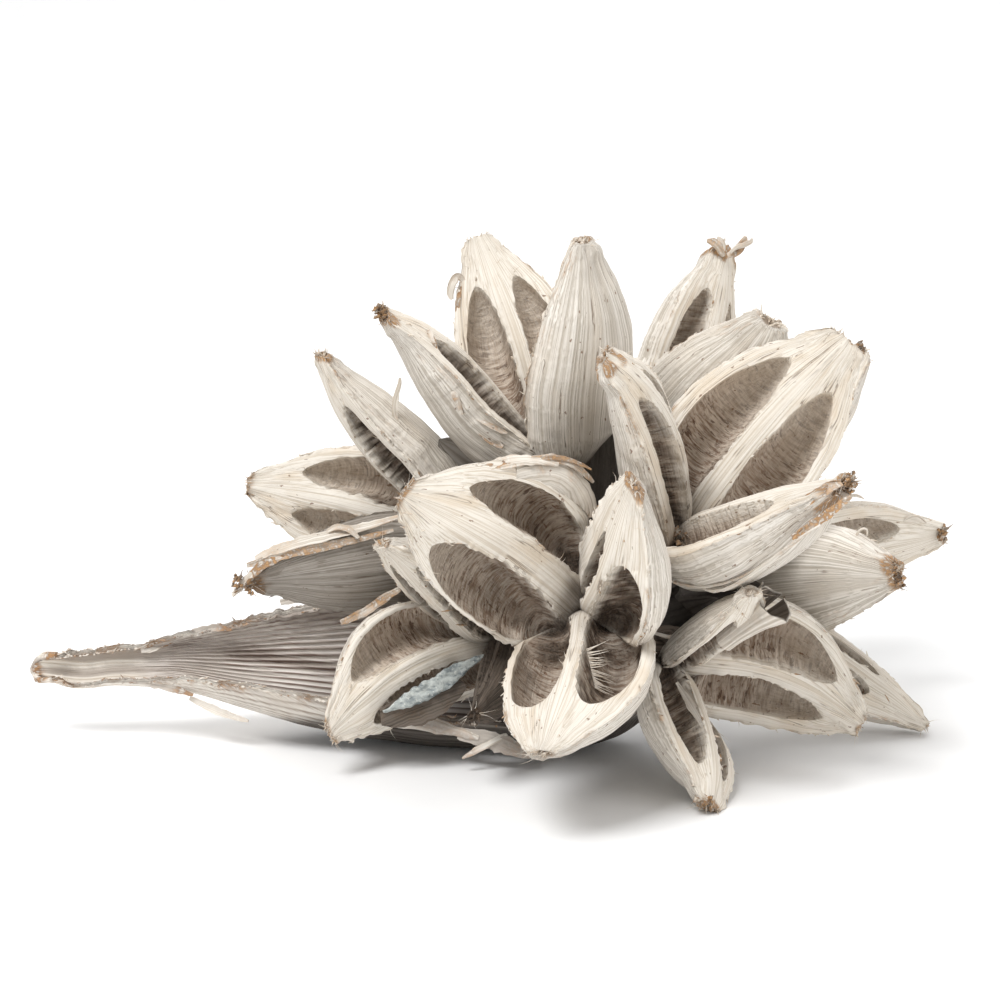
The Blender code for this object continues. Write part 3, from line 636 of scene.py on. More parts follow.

# Peeling strips, slivers and strands on the capsules
# Where bark and septum tore, thin strips have curled away from the valves. Each is a scrap of the same
# husk, still fixed at one end.

# The number of its capsule, its width and thickness in millimetres, how far its sides curl, how brown
# it is and how much painted shade lies on it, which way it faces, and four points of its path.
Strip = namedtuple("Strip", "capsule width thickness curl stain deep up path")
STRIPS = (
    Strip(0, 3.6, 1.0, 0.2, 0.2, 0.0, (0, -0.8, 1),
          ((-4, -47, 80.6), (3, -45, 81.6), (9, -43.5, 82), (16, -41.5, 80.6))),
    Strip(0, 8.0, 1.0, -0.25, 0.0, 0.1, (0.5, -1, 0.3),
          ((6, -45, 79.8), (13, -42.4, 79.0), (19.5, -39.8, 76.0), (25, -35.5, 67))),
    Strip(0, 2.2, 0.8, 0.2, 0.5, 0.1, (0, -1, 0.5),
          ((9, -43.2, 82), (15, -41.2, 82), (20, -39.8, 80), (24.5, -37.8, 75.5))),
    Strip(0, 1.6, 0.4, 0.3, 0.8, 0.1, (0, -1, 0.4),
          ((-9, -51.5, 79), (-4, -48.5, 80.6), (1, -46.5, 81.4), (6, -45.5, 81.4))),
    Strip(0, 1.2, 0.4, 0.3, 1.0, 0.2, (0, -1, 0.4),
          ((12, -42.5, 82), (16, -41.5, 82.2), (20, -40.5, 81), (24, -39.5, 79))),
    Strip(1, 0.8, 0.6, 0.0, 0.3, 0.1, (0, -1, 0.5),
          ((38, -46, 56), (46, -49, 53), (54, -56, 55), (63, -64, 61.5))),
    Strip(1, 1.3, 0.4, 0.4, 0.15, 0.0, (0, -1, -0.6),
          ((50, -50, 53), (57, -57, 55), (66, -66, 64), (76, -71, 73))),
    Strip(1, 3.0, 0.5, 0.3, 0.9, 0.0, (0, -1, 0.9),
          ((66, -64, 70), (71, -67, 76), (76, -69, 80), (81, -68, 82))),
    Strip(1, 2.4, 0.5, 0.4, 1.0, 0.0, (0, -1, 0.6),
          ((70, -67, 69), (75, -70, 73), (79, -71, 76.5), (83, -69, 79))),
    Strip(1, 0.9, 0.7, 0.0, 0.2, 0.0, (0, -1, 0),
          ((80, -63, 76), (83, -61, 77), (85, -60, 77.3), (87, -60, 76.5))),
    Strip(2, 2.2, 0.3, 0.3, 0.0, 0.0, (0, -1, 0),
          ((-7, 38, 111), (-9, 37.5, 112.5), (-10.3, 36.5, 110), (-10, 36, 107))),
    Strip(2, 1.7, 0.5, 0.3, 1.0, 0.2, (-0.5, -0.8, 0.3),
          ((-7.6, 37.5, 110), (-8.6, 35, 105), (-7.8, 33, 101), (-7, 31, 98))),
    Strip(2, 2.0, 0.5, 0.2, 0.35, 0.0, (0, -1, 0.4),
          ((-15, -8.6, 107.2), (-13, -11, 101), (-10, -13.2, 94.6), (-7, -13.6, 87))),
    Strip(2, 2.4, 0.5, 0.2, 1.0, 0.1, (0, -1, 0.4),
          ((-15.4, -8.6, 106.4), (-14.6, -9.6, 104.6), (-14, -10.4, 103), (-13.4, -11, 101.6))),
    Strip(2, 2.4, 0.4, 0.6, 0.5, 0.1, (0, -1, 0.6),
          ((-4, -10, 84), (-2, -11, 82), (0, -11, 80), (3, -12, 78.5))),
    Strip(2, 1.4, 0.4, 0.6, 0.4, 0.0, (0, -1, 0.6),
          ((-4, -12, 86), (-1, -13, 84.5), (1.5, -12.5, 83), (4, -12, 82))),
    Strip(3, 2.4, 0.9, 0.3, 0.5, 0.0, (0, -1, 0.2),
          ((60.5, 50, 116), (59, 50, 118.6), (57.6, 50, 119.8), (56, 50, 120))),
    Strip(3, 1.5, 0.7, 0.3, 0.2, 0.0, (0, -1, 0.2),
          ((60, 50.5, 117), (60.3, 50, 118.6), (59.6, 50, 120), (58.8, 50, 121))),
    Strip(3, 2.4, 0.9, 0.3, 0.5, 0.0, (0, -1, 0.2),
          ((61.5, 50, 116), (64, 50, 117.6), (65.4, 50, 119.4), (66, 50, 121.2))),
    Strip(3, 1.4, 0.7, 0.3, 0.3, 0.0, (0, -1, 0.2),
          ((62, 49, 117), (64.6, 49, 118.8), (66.8, 49, 119.6), (67.6, 49, 120.8))),
    Strip(4, 0.7, 0.5, 0.0, 0.0, 0.0, (0, -1, 0),
          ((106, 30, 49.5), (109, 29, 51.4), (111, 29.5, 51), (112.6, 30, 49.4))),
    Strip(4, 0.7, 0.5, 0.0, 0.0, 0.0, (0, -1, 0),
          ((90.5, -11, 55.2), (91, -12, 57.4), (92.5, -12, 57.8), (92.9, -12, 56))),
    Strip(5, 1.6, 0.4, 0.5, 0.1, 0.0, (-0.4, -0.8, 0.4),
          ((45, -38.5, 26), (47.5, -42, 22.5), (50, -45.5, 19), (52.5, -48, 15.5))),
    Strip(5, 1.2, 0.4, 0.5, 0.2, 0.0, (-0.4, -0.8, 0.4),
          ((47, -38, 24), (49.5, -41.5, 21), (51.5, -44.5, 18), (53.5, -47, 15))),
    Strip(5, 1.4, 0.5, 0.2, 0.3, 0.1, (0, -0.8, 0.6),
          ((40, -30, 36), (46, -34, 36), (51, -38, 38.5), (56, -42, 42))),
    Strip(6, 2.2, 0.5, 0.4, 0.7, 0.15, (0, -1, 0.5),
          ((-37, -20, 36), (-31, -19, 38.5), (-26, -17, 41.5), (-21, -14, 44))),
    Strip(6, 8.0, 0.5, 0.1, 0.1, 0.95, (0, -1, 0.3),
          ((-27, -29, 14.5), (-20, -27.5, 15.5), (-13, -26, 18), (-7, -24, 22))),
    Strip(7, 1.5, 0.5, 0.3, 0.0, 0.0, (0, -1, 0),
          ((-22.8, 0, 81), (-24, 0, 86), (-23.2, 0, 90), (-22.6, 0, 93.5))),
    Strip(7, 3.6, 0.7, 0.4, 0.25, 0.0, (0, -0.6, 1),
          ((-58, -15.6, 51), (-47, -15.2, 54.8), (-36, -14.4, 57.4), (-22, -12.5, 61))),
    Strip(7, 2.2, 0.5, 0.4, 0.6, 0.1, (0, -1, 0.4),
          ((-60, -16.4, 49.6), (-48, -16.4, 52.8), (-37, -15.4, 55), (-24, -14, 58))),
    Strip(7, 2.0, 0.4, 0.5, 0.2, 0.0, (0, -0.6, 1),
          ((-40, -14, 57.5), (-37, -14.6, 58.6), (-34.5, -15.5, 58), (-32.5, -16.5, 56.6))),
    Strip(7, 2.2, 0.5, 0.3, 1.0, 0.1, (0, -1, 0.4),
          ((-50, -16.4, 52), (-55, -17, 50.4), (-59, -17.6, 47.5), (-62, -18, 44.5))),
    Strip(7, 1.7, 0.5, 0.3, 0.0, 0.0, (0, -1, 0.4),
          ((-57, -17, 49), (-60, -18, 46.6), (-62, -18.5, 44.4), (-63.6, -19, 42.4))),
)
BRISTLES_FROM = np.array((22.6, -57.6, 39.5))  # along the septum of the front capsule's lowest valve
BRISTLES_TO = np.array((24.6, -60.2, 31.0))
ROOT_CRUMBS = np.array((46, -33, 60))  # in the throat of the right capsule
TIP_CRUMBS = np.array((51.5, -50, 3.0))  # on the lowest tip of the low right capsule
LOBE_BASE = np.array((56.0, -46.0, 38.5))  # where that capsule's torn lobe leaves its valve
LOBE_MOUTH = np.array((67.0, -51.5, 49.2))


def add_bristles(skin):
    """A comb of stiff pale fibres along a septum, fanned from upwards to downwards."""
    for step in np.linspace(0, 1, 26):
        start = (1 - step) * BRISTLES_FROM + step * BRISTLES_TO
        way = (1.0, 0.1, 0.35 - 1.1 * step + 0.12 * chance.normal())
        add_fibre(skin, start, way, 3.5 + 3.5 * chance.random(), 0.36, 0.16, 0.05)


def add_rolled_lobe(skin):
    """A lobe of torn husk rolled into a tube, with painted shade inside, and a ragged mouth."""
    axis = unit(LOBE_MOUTH - LOBE_BASE)
    first = unit(np.cross(axis, (0, 0, 1)))
    turn = np.radians(np.linspace(-172, 176, 40))
    around = np.cos(turn)[:, None] * first + np.sin(turn)[:, None] * np.cross(axis, first)
    circle = np.stack([4 * np.cos(turn), 4 * np.sin(turn), 0 * turn], axis=-1)
    torn = 1.6 * relief(circle, (2.2, 2.2, 1), 78)
    rolled = []
    for step in np.linspace(0, 1, 20):
        middle = LOBE_BASE + (step * 16.3 + step**2 * torn)[:, None] * axis
        wide = 2.6 + 3.0 * step**2
        rolled.append(np.concatenate([middle + wide * around, (middle + (wide - 0.7) * around)[::-1]]))
    rolled = np.array(rolled)
    rolled = rolled + 0.8 * relief(rolled, (3, 3, 3), 77)[..., None] * axis
    rolled = rolled + 0.6 * relief(rolled, (3.5, 3.5, 3.5), 79)[..., None] * first
    # Painted shade on the inner side of the roll.
    inner_side = np.repeat((0.0, 1.0), 40)
    along, across = np.meshgrid(np.arange(20) * 0.6, np.arange(80) * 0.35, indexing="ij")
    lines = np.stack([along, across, 0 * along], axis=-1) * MM
    skin.add(rolled, {"deep": 0.95 * inner_side, "wall": 1 - inner_side, "stain": 0.1}, lines)


def smooth_path(corners, count):
    """A soft curve through four points."""
    places = np.linspace(0, 1, len(corners))
    t = np.linspace(0, 1, count)
    powers = np.polyfit(places, np.array(corners, float), 3)
    return np.stack([np.polyval(powers[:, k], t) for k in range(3)], axis=1)


for number, capsule in enumerate(CAPSULES):
    scraps = Skin(*HUSK_MARKS)
    for place, strip in enumerate(STRIPS):
        if strip.capsule == number:
            t = np.linspace(0, 1, 30)
            widths = strip.width * np.sin(math.pi * (0.12 + 0.82 * t)) ** 0.6
            path = smooth_path(strip.path, 30)
            rings = ribbon_rings(path, widths, strip.thickness, strip.up, strip.curl, 200 + 3 * place, 8)
            patch = relief(rings, (2.5, 2.5, 2.5), 90 + place)
            length = np.linalg.norm(np.subtract(strip.path[0], strip.path[-1]))
            marks = {"stain": np.clip(strip.stain + 0.5 * patch, 0, 1), "deep": strip.deep, "wall": 0.6}
            scraps.add(rings, marks, ribbon_grain(length * t, widths, 8, 40 * place))
    for valve in range(3):
        ring = VALVES[capsule.name, valve][-3]
        middle = ring.mean(axis=0)
        for _ in range(10):
            start = ring[chance.integers(len(ring))]
            way = start - middle + 0.8 * chance.normal(size=3)
            length = 1.5 + 2.5 * chance.random()
            add_fibre(scraps, start, way, length, 0.14, 0.5, 0.3 * chance.random())
    if capsule.name == "capsule_front":
        add_bristles(scraps)
    if capsule.name == "capsule_right":
        # Crumbs and fibres in the throat of the right capsule, with some painted shade on them.
        for _ in range(14):
            spot = ROOT_CRUMBS + chance.normal(size=3) * (1.4, 1.0, 1.8)
            add_lump(scraps, spot, 0.3 + 0.5 * chance.random(), 0.9, 0.3)
            add_fibre(scraps, spot, chance.normal(size=3), 3.0, 0.3, 0.4, 0.6, 0.3)
    if capsule.name == "capsule_low_right":
        add_rolled_lobe(scraps)
        for _ in range(12):
            spot = TIP_CRUMBS + chance.normal(size=3) * (1.2, 0.8, 0.7)
            add_lump(scraps, spot, 0.4 + 0.7 * chance.random(), 1.0)
    scraps.make("scraps_" + capsule.name, husk.material, "capsule")

# The bract
# One boat-shaped sheath that held the flowers: a thin, stiff, ribbed shell, brown inside and bleached
# grey outside, that narrows to a beak. Its rims are worn pale and ragged, and its base is torn.

BractStation = namedtuple("BractStation", "x y z radius front_rim back_rim")
BRACT = (
    BractStation(-116.5, 2.0, 18.0, 2.6, -20, 165),
    BractStation(-113.0, 1.5, 18.3, 4.2, -28, 155),
    BractStation(-106.0, 1.5, 18.4, 4.8, -30, 150),
    BractStation(-96.0, 1.5, 18.7, 5.2, -32, 150),
    BractStation(-86.0, 1.5, 19.7, 5.8, -38, 140),
    BractStation(-76.0, 1.5, 21.1, 8.6, -46, 132),
    BractStation(-62.0, 0.5, 21.5, 13.0, -50, 128),
    BractStation(-48.0, 0.0, 21.9, 17.0, -50, 126),
    BractStation(-34.0, 0.0, 22.1, 20.4, -54, 124),
    BractStation(-20.0, -0.5, 22.5, 22.6, -58, 122),
    BractStation(-6.0, -1.5, 22.9, 23.4, -58, 120),
    BractStation(8.0, -3.0, 22.5, 23.2, -56, 118),
    BractStation(20.0, -4.0, 21.5, 21.8, -54, 116),
    BractStation(29.0, -4.0, 19.5, 18.0, -66, 114),
    BractStation(36.0, -3.0, 17.0, 12.5, -84, 120),
    BractStation(41.0, -1.0, 16.0, 8.6, -110, 140),
)
BRACT_WALL = 2.0
RIM_PLACES = (-116, -110, -100, -90, -84, -76, -62, -46, -38, -28)
FRONT_RIM_RISE = (0, 0, 4, 8, 14, 20, 19, 19, 14, 0)  # how far it stands above the solid's, in degrees
BEAK_PLACES = (-116, -110, -103, -98, -94, -88, -84)
BEAK_SWAY = (0.2, 0.2, -0.5, 0.4, 0.5, -0.1, 0.0)  # how far the beak waves up and down, in millimetres
BEAK_ROUND = 6.0  # how far the beak's corners are worn back
BASE_TORN = 2.0
BRACT_ROWS = 180
INNER_COLUMNS = 160
OUTER_COLUMNS = 76
RIBS = 32
RIB_DEPTH = 0.30


def bract_face(reach_in, columns, depth, seed):
    """One face of the bract as rows of points from its front rim to its back rim, this far inside
    the outline, and how high the ribs stand at each point."""
    table = np.array(BRACT, float).T
    x = np.linspace(table[0, 0], table[0, -1], BRACT_ROWS)[:, None]
    y, z, radius, front, back = (
        sum(np.interp(x + shift, table[0], row) for shift in (-4, -2, 0, 2, 4)) / 5 for row in table[1:]
    )
    along = np.concatenate([x, 0 * x, 0 * x], axis=1)[:, None]
    worn = 0.8 * relief(along, (2.2, 1, 1), 1) + 0.7 * relief(along, (7, 1, 1), 2)
    torn = 0.8 * relief(along, (1.4, 1, 1), 3) + 1.1 * relief(along, (9, 1, 1), 4)
    rise = sum(np.interp(x + shift, RIM_PLACES, FRONT_RIM_RISE) for shift in range(-8, 9, 2)) / 9
    front, back = np.radians(front - rise), np.radians(back)
    z = z + sum(np.interp(x + shift, BEAK_PLACES, BEAK_SWAY) for shift in (-3, -1.5, 0, 1.5, 3)) / 5
    t = np.linspace(0, 1, columns)
    span = abs(back - front) * radius
    angle = front + (back - front) * t
    angle = angle + worn / radius * np.exp(-t * span / 2.0) + torn / radius * np.exp(-(1 - t) * span / 2.0)
    wall = BRACT_WALL * np.minimum(1, 0.45 + radius / 30)
    spots = np.stack([x + 0 * t, angle * 14, 0 * angle], axis=-1)
    waver = 0.35 * relief(spots, (30, 6, 6), seed)
    rib = np.cos(2 * math.pi * (RIBS * t + waver)) * smooth((radius - 4) / 6)
    reach = radius - reach_in * wall + depth * rib + 0.3 * relief(spots, (12, 6, 6), seed + 1)
    reach = reach + 0.10 * relief(spots, (3, 0.8, 1), seed + 2)
    tear = relief(np.stack([0 * angle, angle * 14, 0 * angle], axis=-1), (1, 2.4, 1), 61)
    end = x + BEAK_ROUND * smooth((-104 - x) / 12.5) * abs(2 * t - 1) ** 2.2
    end = end - smooth((x - 31) / 10) * BASE_TORN * (1 + tear)
    points = np.stack([end, y + reach * np.sin(angle), z - reach * np.cos(angle)], axis=-1)
    points[..., 2] = np.maximum(points[..., 2], 0.0)
    edge = np.exp(-np.minimum(t, 1 - t) * span / 1.3)
    arc = np.stack([x + 0 * t, (angle - angle.mean()) * radius, 0 * angle + reach_in * 30], axis=-1) * MM
    return points, rib, edge, arc


inner = bract_face(1.0, INNER_COLUMNS, RIB_DEPTH, 31)
outer = bract_face(0.0, OUTER_COLUMNS, 0.6 * RIB_DEPTH, 41)
rings, rib, edge, arc = (np.concatenate([one, other[:, ::-1]], axis=1) for one, other in zip(inner, outer))
inside = np.concatenate([inner[1] * 0 + 1, outer[1] * 0], axis=1)
torn = relief(rings, (4, 4, 4), 51)
along = rings[..., 0]
# Painted shade under the bract's belly, near the floor, and inside it towards the capsules.
belly = smooth((np.interp(along, (-60, -35), (9, 13)) - rings[..., 2]) / 5)
sheltered = smooth((along + 30) / 30)
SHEATH_MARKS = ("rib", "inside", "rim", "stain", "painted_shade")
sheath = Skin(*SHEATH_MARKS)
sheath.add(rings, {
    "rib": 0.5 + 0.5 * rib,
    "inside": inside,
    "rim": edge + smooth((-84 - along) / 8),
    "stain": edge * smooth((torn - 0.1) / 0.3) + smooth((-113.5 - along) / 2 + torn),
    "painted_shade": belly * (1 - inside) + sheltered * inside,
}, arc)
ribbed = Finish("ribbed_sheath", 0.85)
grain = ribbed.mark("grain", "Vector")
lines = ribbed.noise(grain, (16, 1300, 1300), 4, 0.6)
bands = ribbed.noise(grain, (9, 170, 170), 3, 0.55)
clouds = ribbed.noise(grain, (50, 90, 90), 4, 0.6)
crumbs = ribbed.noise(grain, (700, 900, 900), 3, 0.6)
ribs = ribbed.maths("MULTIPLY", ribbed.mark("rib"), 0.42)
ridge = ribbed.maths("ADD", ribs, ribbed.maths("MULTIPLY", lines, 0.6))
channel = ribbed.mix(ribbed.between(ridge, 0.30, 0.60), tone(142, 124, 114), tone(240, 234, 227))
dark_band = ribbed.mix(ribbed.between(ridge, 0.30, 0.66), tone(92, 75, 67), tone(196, 185, 176))
channel = ribbed.mix(ribbed.between(bands, 0.50, 0.62), channel, dark_band)
channel = ribbed.over(channel, ribbed.between(clouds, 0.48, 0.62), 0.45, tone(205, 197, 189))
back = ribbed.mix(ribbed.between(ridge, 0.26, 0.62), tone(166, 152, 140), tone(228, 222, 213))
back = ribbed.over(back, ribbed.between(clouds, 0.48, 0.66), 0.5, tone(196, 184, 171))
colour = ribbed.mix(ribbed.mark("inside"), back, channel)
pale = ribbed.mix(ribbed.between(lines, 0.34, 0.58), tone(200, 187, 170), tone(240, 234, 224))
grey = ribbed.mix(ribbed.between(bands, 0.44, 0.58), pale, tone(176, 166, 156))
colour = ribbed.over(colour, ribbed.mark("rim"), 0.85, grey)
brown = ribbed.mix(ribbed.between(crumbs, 0.35, 0.65), tone(88, 60, 42), tone(172, 134, 98))
colour = ribbed.over(colour, ribbed.mark("stain"), ribbed.between(crumbs, 0.34, 0.56), brown)
# The colour of that painted shade, laid over those places.
dark = ribbed.mix(ribbed.between(ridge, 0.30, 0.75), tone(28, 22, 18), tone(70, 60, 52))
ribbed.colour(ribbed.over(colour, ribbed.mark("painted_shade"), 0.88, dark))
height = ribbed.maths("ADD", ribbed.maths("MULTIPLY", lines, 0.7), ribbed.maths("MULTIPLY", crumbs, 0.35))
ribbed.bump(height, 0.0006)
sheath.make("bract_sheath", ribbed.material, "bract", "bract")

# Worn rims of the bract
# Along both rims the layers of the sheath have parted: crumbs and short fibres stick out, and a few
# longer flakes hang from the torn front edge or stand on the far one.

RIM_CHIPS = 700
RIM_COLUMNS = (0, 1, INNER_COLUMNS - 2, INNER_COLUMNS - 1, INNER_COLUMNS, INNER_COLUMNS + OUTER_COLUMNS - 1)
worn_rim = Skin(*SHEATH_MARKS)
end_lip = rings[0, INNER_COLUMNS:][::6] + (0.4, 0, 0)
bead = tube_rings(end_lip, 0.9 + 0.35 * relief(end_lip, (1.5, 1.5, 1.5), 9), 12)
bead = bead + 0.3 * relief(bead, (1.2, 1.2, 1.2), 10)[..., None]
worn_rim.add(bead, {"rim": 1.0, "stain": smooth(relief(bead, (3, 3, 3), 11) * 3)})
for _ in range(RIM_CHIPS):
    row = chance.integers(1, BRACT_ROWS - 1)
    column = chance.choice(RIM_COLUMNS)
    here = rings[row, column]
    way = unit(rings[row + 1, column] - rings[row - 1, column]) + 0.35 * chance.normal(size=3)
    size = 0.7 + 2.2 * chance.random() ** 3
    path = here + unit(way) * size * np.array((-0.5, 0.0, 0.5))[:, None]
    chip = tube_rings(path, (0.06, 0.15 + 0.25 * chance.random(), 0.05), 4)
    worn_rim.add(chip, {"rim": 1.0, "stain": chance.random() ** 2})


def straight_path(corners, count):
    """Points along straight runs between a few corners."""
    places = np.linspace(0, 1, len(corners))
    t = np.linspace(0, 1, count)
    return np.stack([np.interp(t, places, np.array(corners, float)[:, k]) for k in range(3)], axis=1)


Flake = namedtuple("Flake", "width up curl stain path")
FLAKES = (
    Flake(2.2, (0, -1, 0.3), 0.3, 0.9, ((-87, -2, 15.6), (-83, -3, 15), (-79, -4, 14.3), (-75, -5, 13.2))),
    Flake(2.0, (0, -1, 0.2), 0.3, 0.2, ((-76, -3.5, 12), (-71, -4.5, 9.8), (-66, -6, 8.2), (-61, -8, 7.2))),
    Flake(1.8, (0, -1, 0.3), 0.4, 0.9, ((-76, 8.2, 26.2), (-72, 8.6, 26.9), (-69, 8, 27.2), (-66, 7.4, 26.8))),
    Flake(2.6, (0, -1, 0), 0.4, 1.0, ((-89, 5, 22.2), (-86, 5.5, 23), (-84, 6, 23.6), (-81, 6.6, 24.2))),
    Flake(2.6, (0, -1, 0.3), 0.5, 0.6, ((-54, 15, 32), (-46, 16, 34), (-38, 16.5, 35.6), (-29, 17, 37))),
    Flake(3.0, (0, -1, 0.8), 0.5, 0.9, ((-40, 14, 35), (-34, 11, 35.5), (-28, 9, 36.5), (-22, 8, 38.5))),
    Flake(2.4, (0, -1, 0.8), 0.5, 1.0, ((-37, 13, 34), (-32, 9, 33), (-28, 7, 33.5), (-22, 6, 35.5))),
    Flake(1.8, (0, -1, 1), 0.3, 0.5, ((4, -24, 8.5), (0, -26, 7), (-4, -27, 5), (-7, -28, 3.5))),
    Flake(4.0, (0, -1, 0.5), -0.2, 0.3, ((-37, -19, 12), (-26, -21.5, 12.2), (-15, -23.5, 11), (-3, -25, 8))),
    Flake(4.6, (0, -1, 0.5), -0.2, 0.4, ((-8, -24, 9), (-1, -25, 7.6), (5, -26.5, 6), (11, -28, 4.2))),
)
for number, flake in enumerate(FLAKES):
    t = np.linspace(0, 1, 26)
    fine = straight_path(flake.path, 26)
    widths = flake.width * np.sin(math.pi * (0.15 + 0.8 * t)) ** 0.6
    strip = ribbon_rings(fine, widths, 0.4, flake.up, flake.curl, 150 + 3 * number, 8)
    marks = {"rim": 0.8, "stain": flake.stain * smooth(2.5 * t - 1)[:, None], "rib": 0.6}
    worn_rim.add(strip, marks, ribbon_grain(fine[:, 0], widths, 8, 40 * number))
worn_rim.make("bract_worn_rim", ribbed.material, "bract")

# The flower stalk
# The short brown axis inside the bract: a swollen knob, one arm to each capsule and a cut stub at the
# bract's base. It is hidden but for dark fibres between the capsules.

KNOB_CENTRE = np.array((27, 1, 28.5))
KNOB_RADIUS = 9.5
STUB_PATH = ((27, 1, 28.5), (31, 0, 18.5), (39, -1, 16), (50, 1, 15.5))
STUB_RADII = (5.9, 5.4, 4.9, 5.4)
ARM_RADII = (4.6, 4.1, 3.8, 3.6)
axis_skin = Skin()


def add_stem(path, radii, sides, seed):
    """A fibrous stem along a few points, with its skin furrowed along its length."""
    fine = np.linspace(0, 1, 40)
    line = np.pad(straight_path(path, 40), ((3, 3), (0, 0)), "edge")
    line = (line[6:] + line[3:-3] + line[:-6]) / 3
    rings = tube_rings(line, np.interp(fine, np.linspace(0, 1, len(path)), radii), sides)
    turn = 2 * math.pi * np.arange(sides) / sides
    along, around = np.meshgrid(4 * fine, turn, indexing="ij")
    furrow = relief(np.stack([along, 8 * np.cos(around), 8 * np.sin(around)], axis=-1), (1, 1.5, 1.5), seed)
    rings = rings + (rings - line[:, None]) * 0.10 * furrow[..., None]
    axis_skin.add(rings, {})


steps = np.linspace(-0.98, 0.98, 24)
core = KNOB_CENTRE + np.outer(steps * KNOB_RADIUS, (0, 0, 1))
ball = tube_rings(core, KNOB_RADIUS * np.sqrt(1 - steps**2), 40)
axis_skin.add(ball + 0.6 * relief(ball, (3, 3, 3), 3)[..., None] * unit((1, 1, 1)), {})
add_stem(STUB_PATH, STUB_RADII, 28, 7)
for number, capsule in enumerate(CAPSULES):
    axis = capsule_axes(capsule)[0]
    tip = np.array(capsule.seat) - axis * (STALK_LENGTH + 0.3)
    shoulder = tip - axis * 5
    add_stem((KNOB_CENTRE, (KNOB_CENTRE + shoulder) / 2, shoulder, tip), ARM_RADII, 24, 8 + number)
fibrous = Finish("stalk_fibre", 0.92)
grain = fibrous.mark("grain", "Vector")
clouds = fibrous.noise(grain, (1300, 1300, 1300), 4, 0.65)
fibrous.colour(fibrous.mix(fibrous.between(clouds, 0.30, 0.70), tone(62, 49, 39), tone(122, 103, 86)))
fibrous.bump(clouds, 0.0008)
axis_skin.make("stalk_axis", fibrous.material, "stalk", "flower_stalk")

# The floral bracts
# Thin, dry, pointed scales that once wrapped each flower. They stand on the flower stalk among the
# capsules, in their shadow, and painted shade lies over them.

# A scale's dark is how much painted shade lies on it.
FloralBract = namedtuple("FloralBract", "path width up curl dark")
FLORAL_BRACTS = (
    FloralBract(((26, 6, 40), (27, 10, 56), (28, 12, 72), (29.5, 13, 90)), 25, (0, -1, 0), 0.25, 0.9),
    FloralBract(((34, -4, 27), (43, -13, 32), (51, -22, 38), (55, -27, 44)), 19, (0.4, -1, 0.3), -0.3, 1.0),
    FloralBract(((34, 4, 38), (40, 4, 50), (44, 2, 62), (46, 0, 72)), 20, (0, -1, 0), 0.2, 1.0),
    FloralBract(((18, -6, 30), (8, -14, 36), (0, -20, 44), (-4, -22, 52)), 16, (-0.5, -1, 0), 0.2, 1.0),
    FloralBract(((30, -8, 34), (34, -20, 42), (38, -26, 50), (40, -28, 58)), 16, (0, -1, 0.3), 0.2, 1.0),
    FloralBract(((20, 4, 50), (8, 5, 62), (-4, 5, 70), (-13, 4, 77)), 20, (-0.3, -1, 0), 0.2, 0.7),
    FloralBract(((40, 6, 30), (52, -2, 34), (62, -8, 38), (70, -10, 41)), 18, (0.2, -1, 0.3), 0.2, 1.0),
)
scales = Skin(*SHEATH_MARKS)
for number, scale in enumerate(FLORAL_BRACTS):
    t = np.linspace(0, 1, 36)
    widths = scale.width * np.sin(math.pi * (0.22 + 0.78 * t)) ** 0.7 + 0.4
    path = straight_path(scale.path, 36)
    rings = ribbon_rings(path, widths, 0.5, scale.up, scale.curl, 70 + 3 * number, 18)
    along, across = np.meshgrid(40 * t, 0.8 * np.arange(36), indexing="ij")
    lines = np.stack([along, across, 0 * along + 9 * number], axis=-1) * MM
    scales.add(rings, {"rib": 0.5 + 0.25 * np.cos(np.arange(36) * 2.2), "painted_shade": scale.dark}, lines)
scales.make("floral_bracts", ribbed.material, "bract")

# The seed coat
# A crumpled, papery, blue-grey coat that a seed left in one valve. It lies against the valve's lower
# lip and shows as a pale strip.

COAT_PATH = ((-26.5, -28.6, 15.6), (-18.0, -26.8, 19.4), (-10.1, -25.0, 23.8), (-1.6, -23.4, 28.6))
t = np.linspace(0, 1, 60)
widths = 4.3 * (0.15 + 0.85 * smooth(t / 0.3) * smooth((1.05 - t) / 0.4))
rings = ribbon_rings(smooth_path(COAT_PATH, 60), widths, 1.6, (0.2, -1, 0.3), 0.3, 61, 14)
rings = rings + 0.7 * relief(rings, (2.2, 1.6, 1.6), 62)[..., None] * unit((0.3, -1, 0.4))
rings = rings + 0.4 * relief(rings, (1.0, 1.0, 1.0), 63)[..., None] * unit((0.3, -0.5, 1))
coat = Skin()
coat.add(rings, {})
papery = Finish("papery_coat", 0.7)
grain = papery.mark("grain", "Vector")
crumple = papery.noise(grain, (200, 260, 420), 5, 0.6)
fleck = papery.noise(grain, (1400, 1400, 1400), 3, 0.6)
tint = papery.mix(papery.between(crumple, 0.38, 0.62), tone(122, 130, 132), tone(196, 201, 197))
papery.colour(papery.mix(papery.between(fleck, 0.54, 0.72), tint, tone(216, 218, 212)))
papery.bump(papery.maths("ADD", crumple, papery.maths("MULTIPLY", fleck, 0.4)), 0.0009)
coat.make("seed_coat", papery.material, "aril", "seed_aril")

# The studio
# A pale floor that sweeps up behind the pod, wide soft lights, and the camera a little above it.

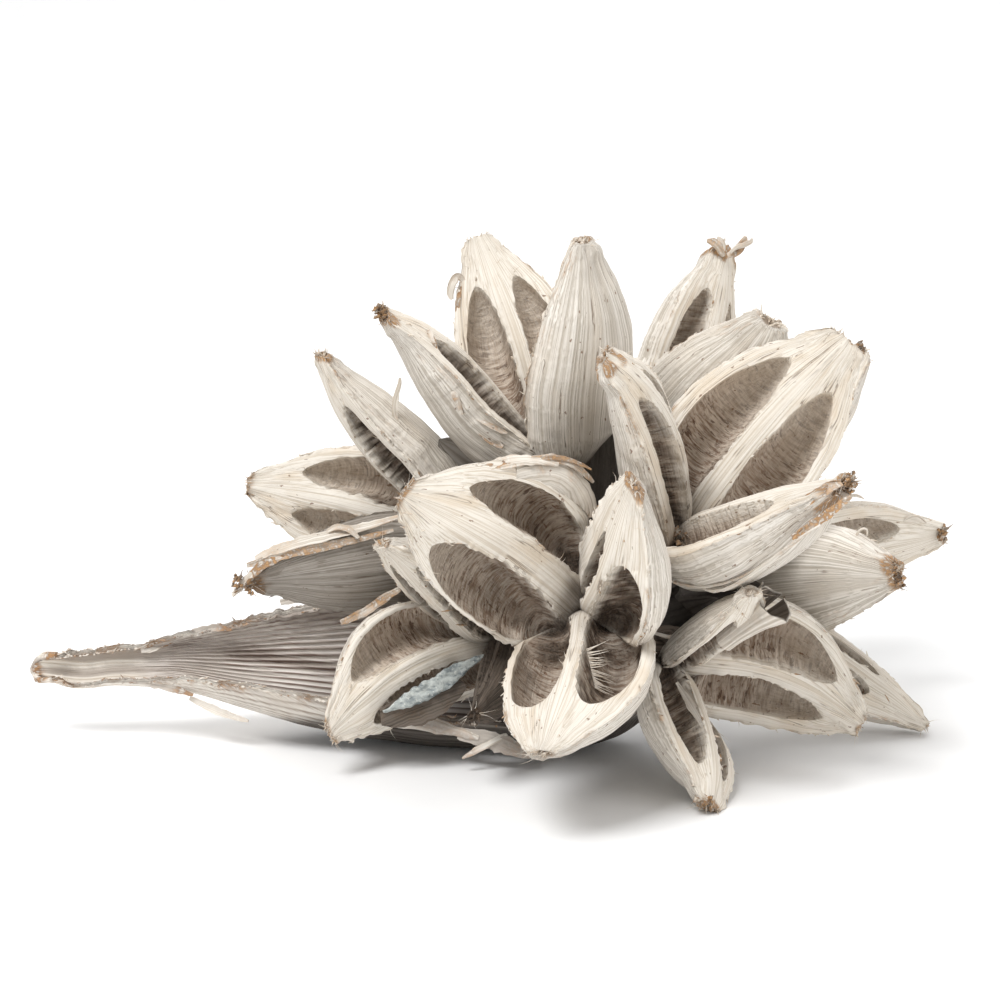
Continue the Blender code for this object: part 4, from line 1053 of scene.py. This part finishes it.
ELEVATION = math.radians(13)
DISTANCE = 0.9
LENS = 129.6
TARGET = np.array((0.00225, 0.0, 0.0624))
camera = bpy.data.objects.new("camera", bpy.data.cameras.new("camera"))
bpy.context.scene.collection.objects.link(camera)
camera.location = TARGET + DISTANCE * np.array((0, -math.cos(ELEVATION), math.sin(ELEVATION)))
camera.rotation_euler = (math.pi / 2 - ELEVATION, 0, 0)
camera.data.lens = LENS
camera.data.sensor_width = 36
camera.data.clip_start = 0.05
camera.data.clip_end = 20
bpy.context.scene.camera = camera

floor_mesh = bpy.data.meshes.new("floor")
profile = [(-3.0, 0.0)] + [
    (1.2 + 0.8 * math.sin(a), 0.8 - 0.8 * math.cos(a)) for a in np.linspace(0, math.pi / 2, 13)
] + [(2.0, 3.0)]
floor_points = [(x, y, z) for x in (-3.0, 3.0) for y, z in profile]
count = len(profile)
floor_mesh.from_pydata(floor_points, [], [(i + count, i + count + 1, i + 1, i) for i in range(count - 1)])
floor_mesh.shade_smooth()
paper = Finish("white_paper", 0.9)
fibre = paper.noise(paper.node("TexCoord", {}).outputs["Object"], (40, 40, 40), 3, 0.5)
paper.colour(paper.mix(fibre, tone(242, 242, 242), tone(248, 248, 248)))
floor_mesh.materials.append(paper.material)
floor = bpy.data.objects.new("floor", floor_mesh)
bpy.context.scene.collection.objects.link(floor)


def soft_light(name, place, size, power, aim=(0.0, 0.0, 0.06)):
    """A square soft box that points at the pod."""
    lamp = bpy.data.lights.new(name, "AREA")
    lamp.size = size
    lamp.energy = power
    made = bpy.data.objects.new(name, lamp)
    made.location = place
    away = np.array(place) - np.array(aim)
    made.rotation_euler = (
        math.atan2(math.hypot(away[0], away[1]), away[2]), 0, math.atan2(away[1], away[0]) + math.pi / 2
    )
    bpy.context.scene.collection.objects.link(made)


soft_light("key_light", (-0.6, -0.75, 1.45), 0.7, 23)
soft_light("fill_light", (1.2, -0.9, 0.45), 1.0, 6)
soft_light("back_light", (0.3, 1.0, 1.2), 1.0, 11)
world = bpy.context.scene.world or bpy.data.worlds.new("world")
bpy.context.scene.world = world
world.use_nodes = True
world.node_tree.nodes["Background"].inputs["Color"].default_value = (1, 1, 1, 1)
world.node_tree.nodes["Background"].inputs["Strength"].default_value = 0.51
bpy.context.scene.view_settings.view_transform = "Standard"
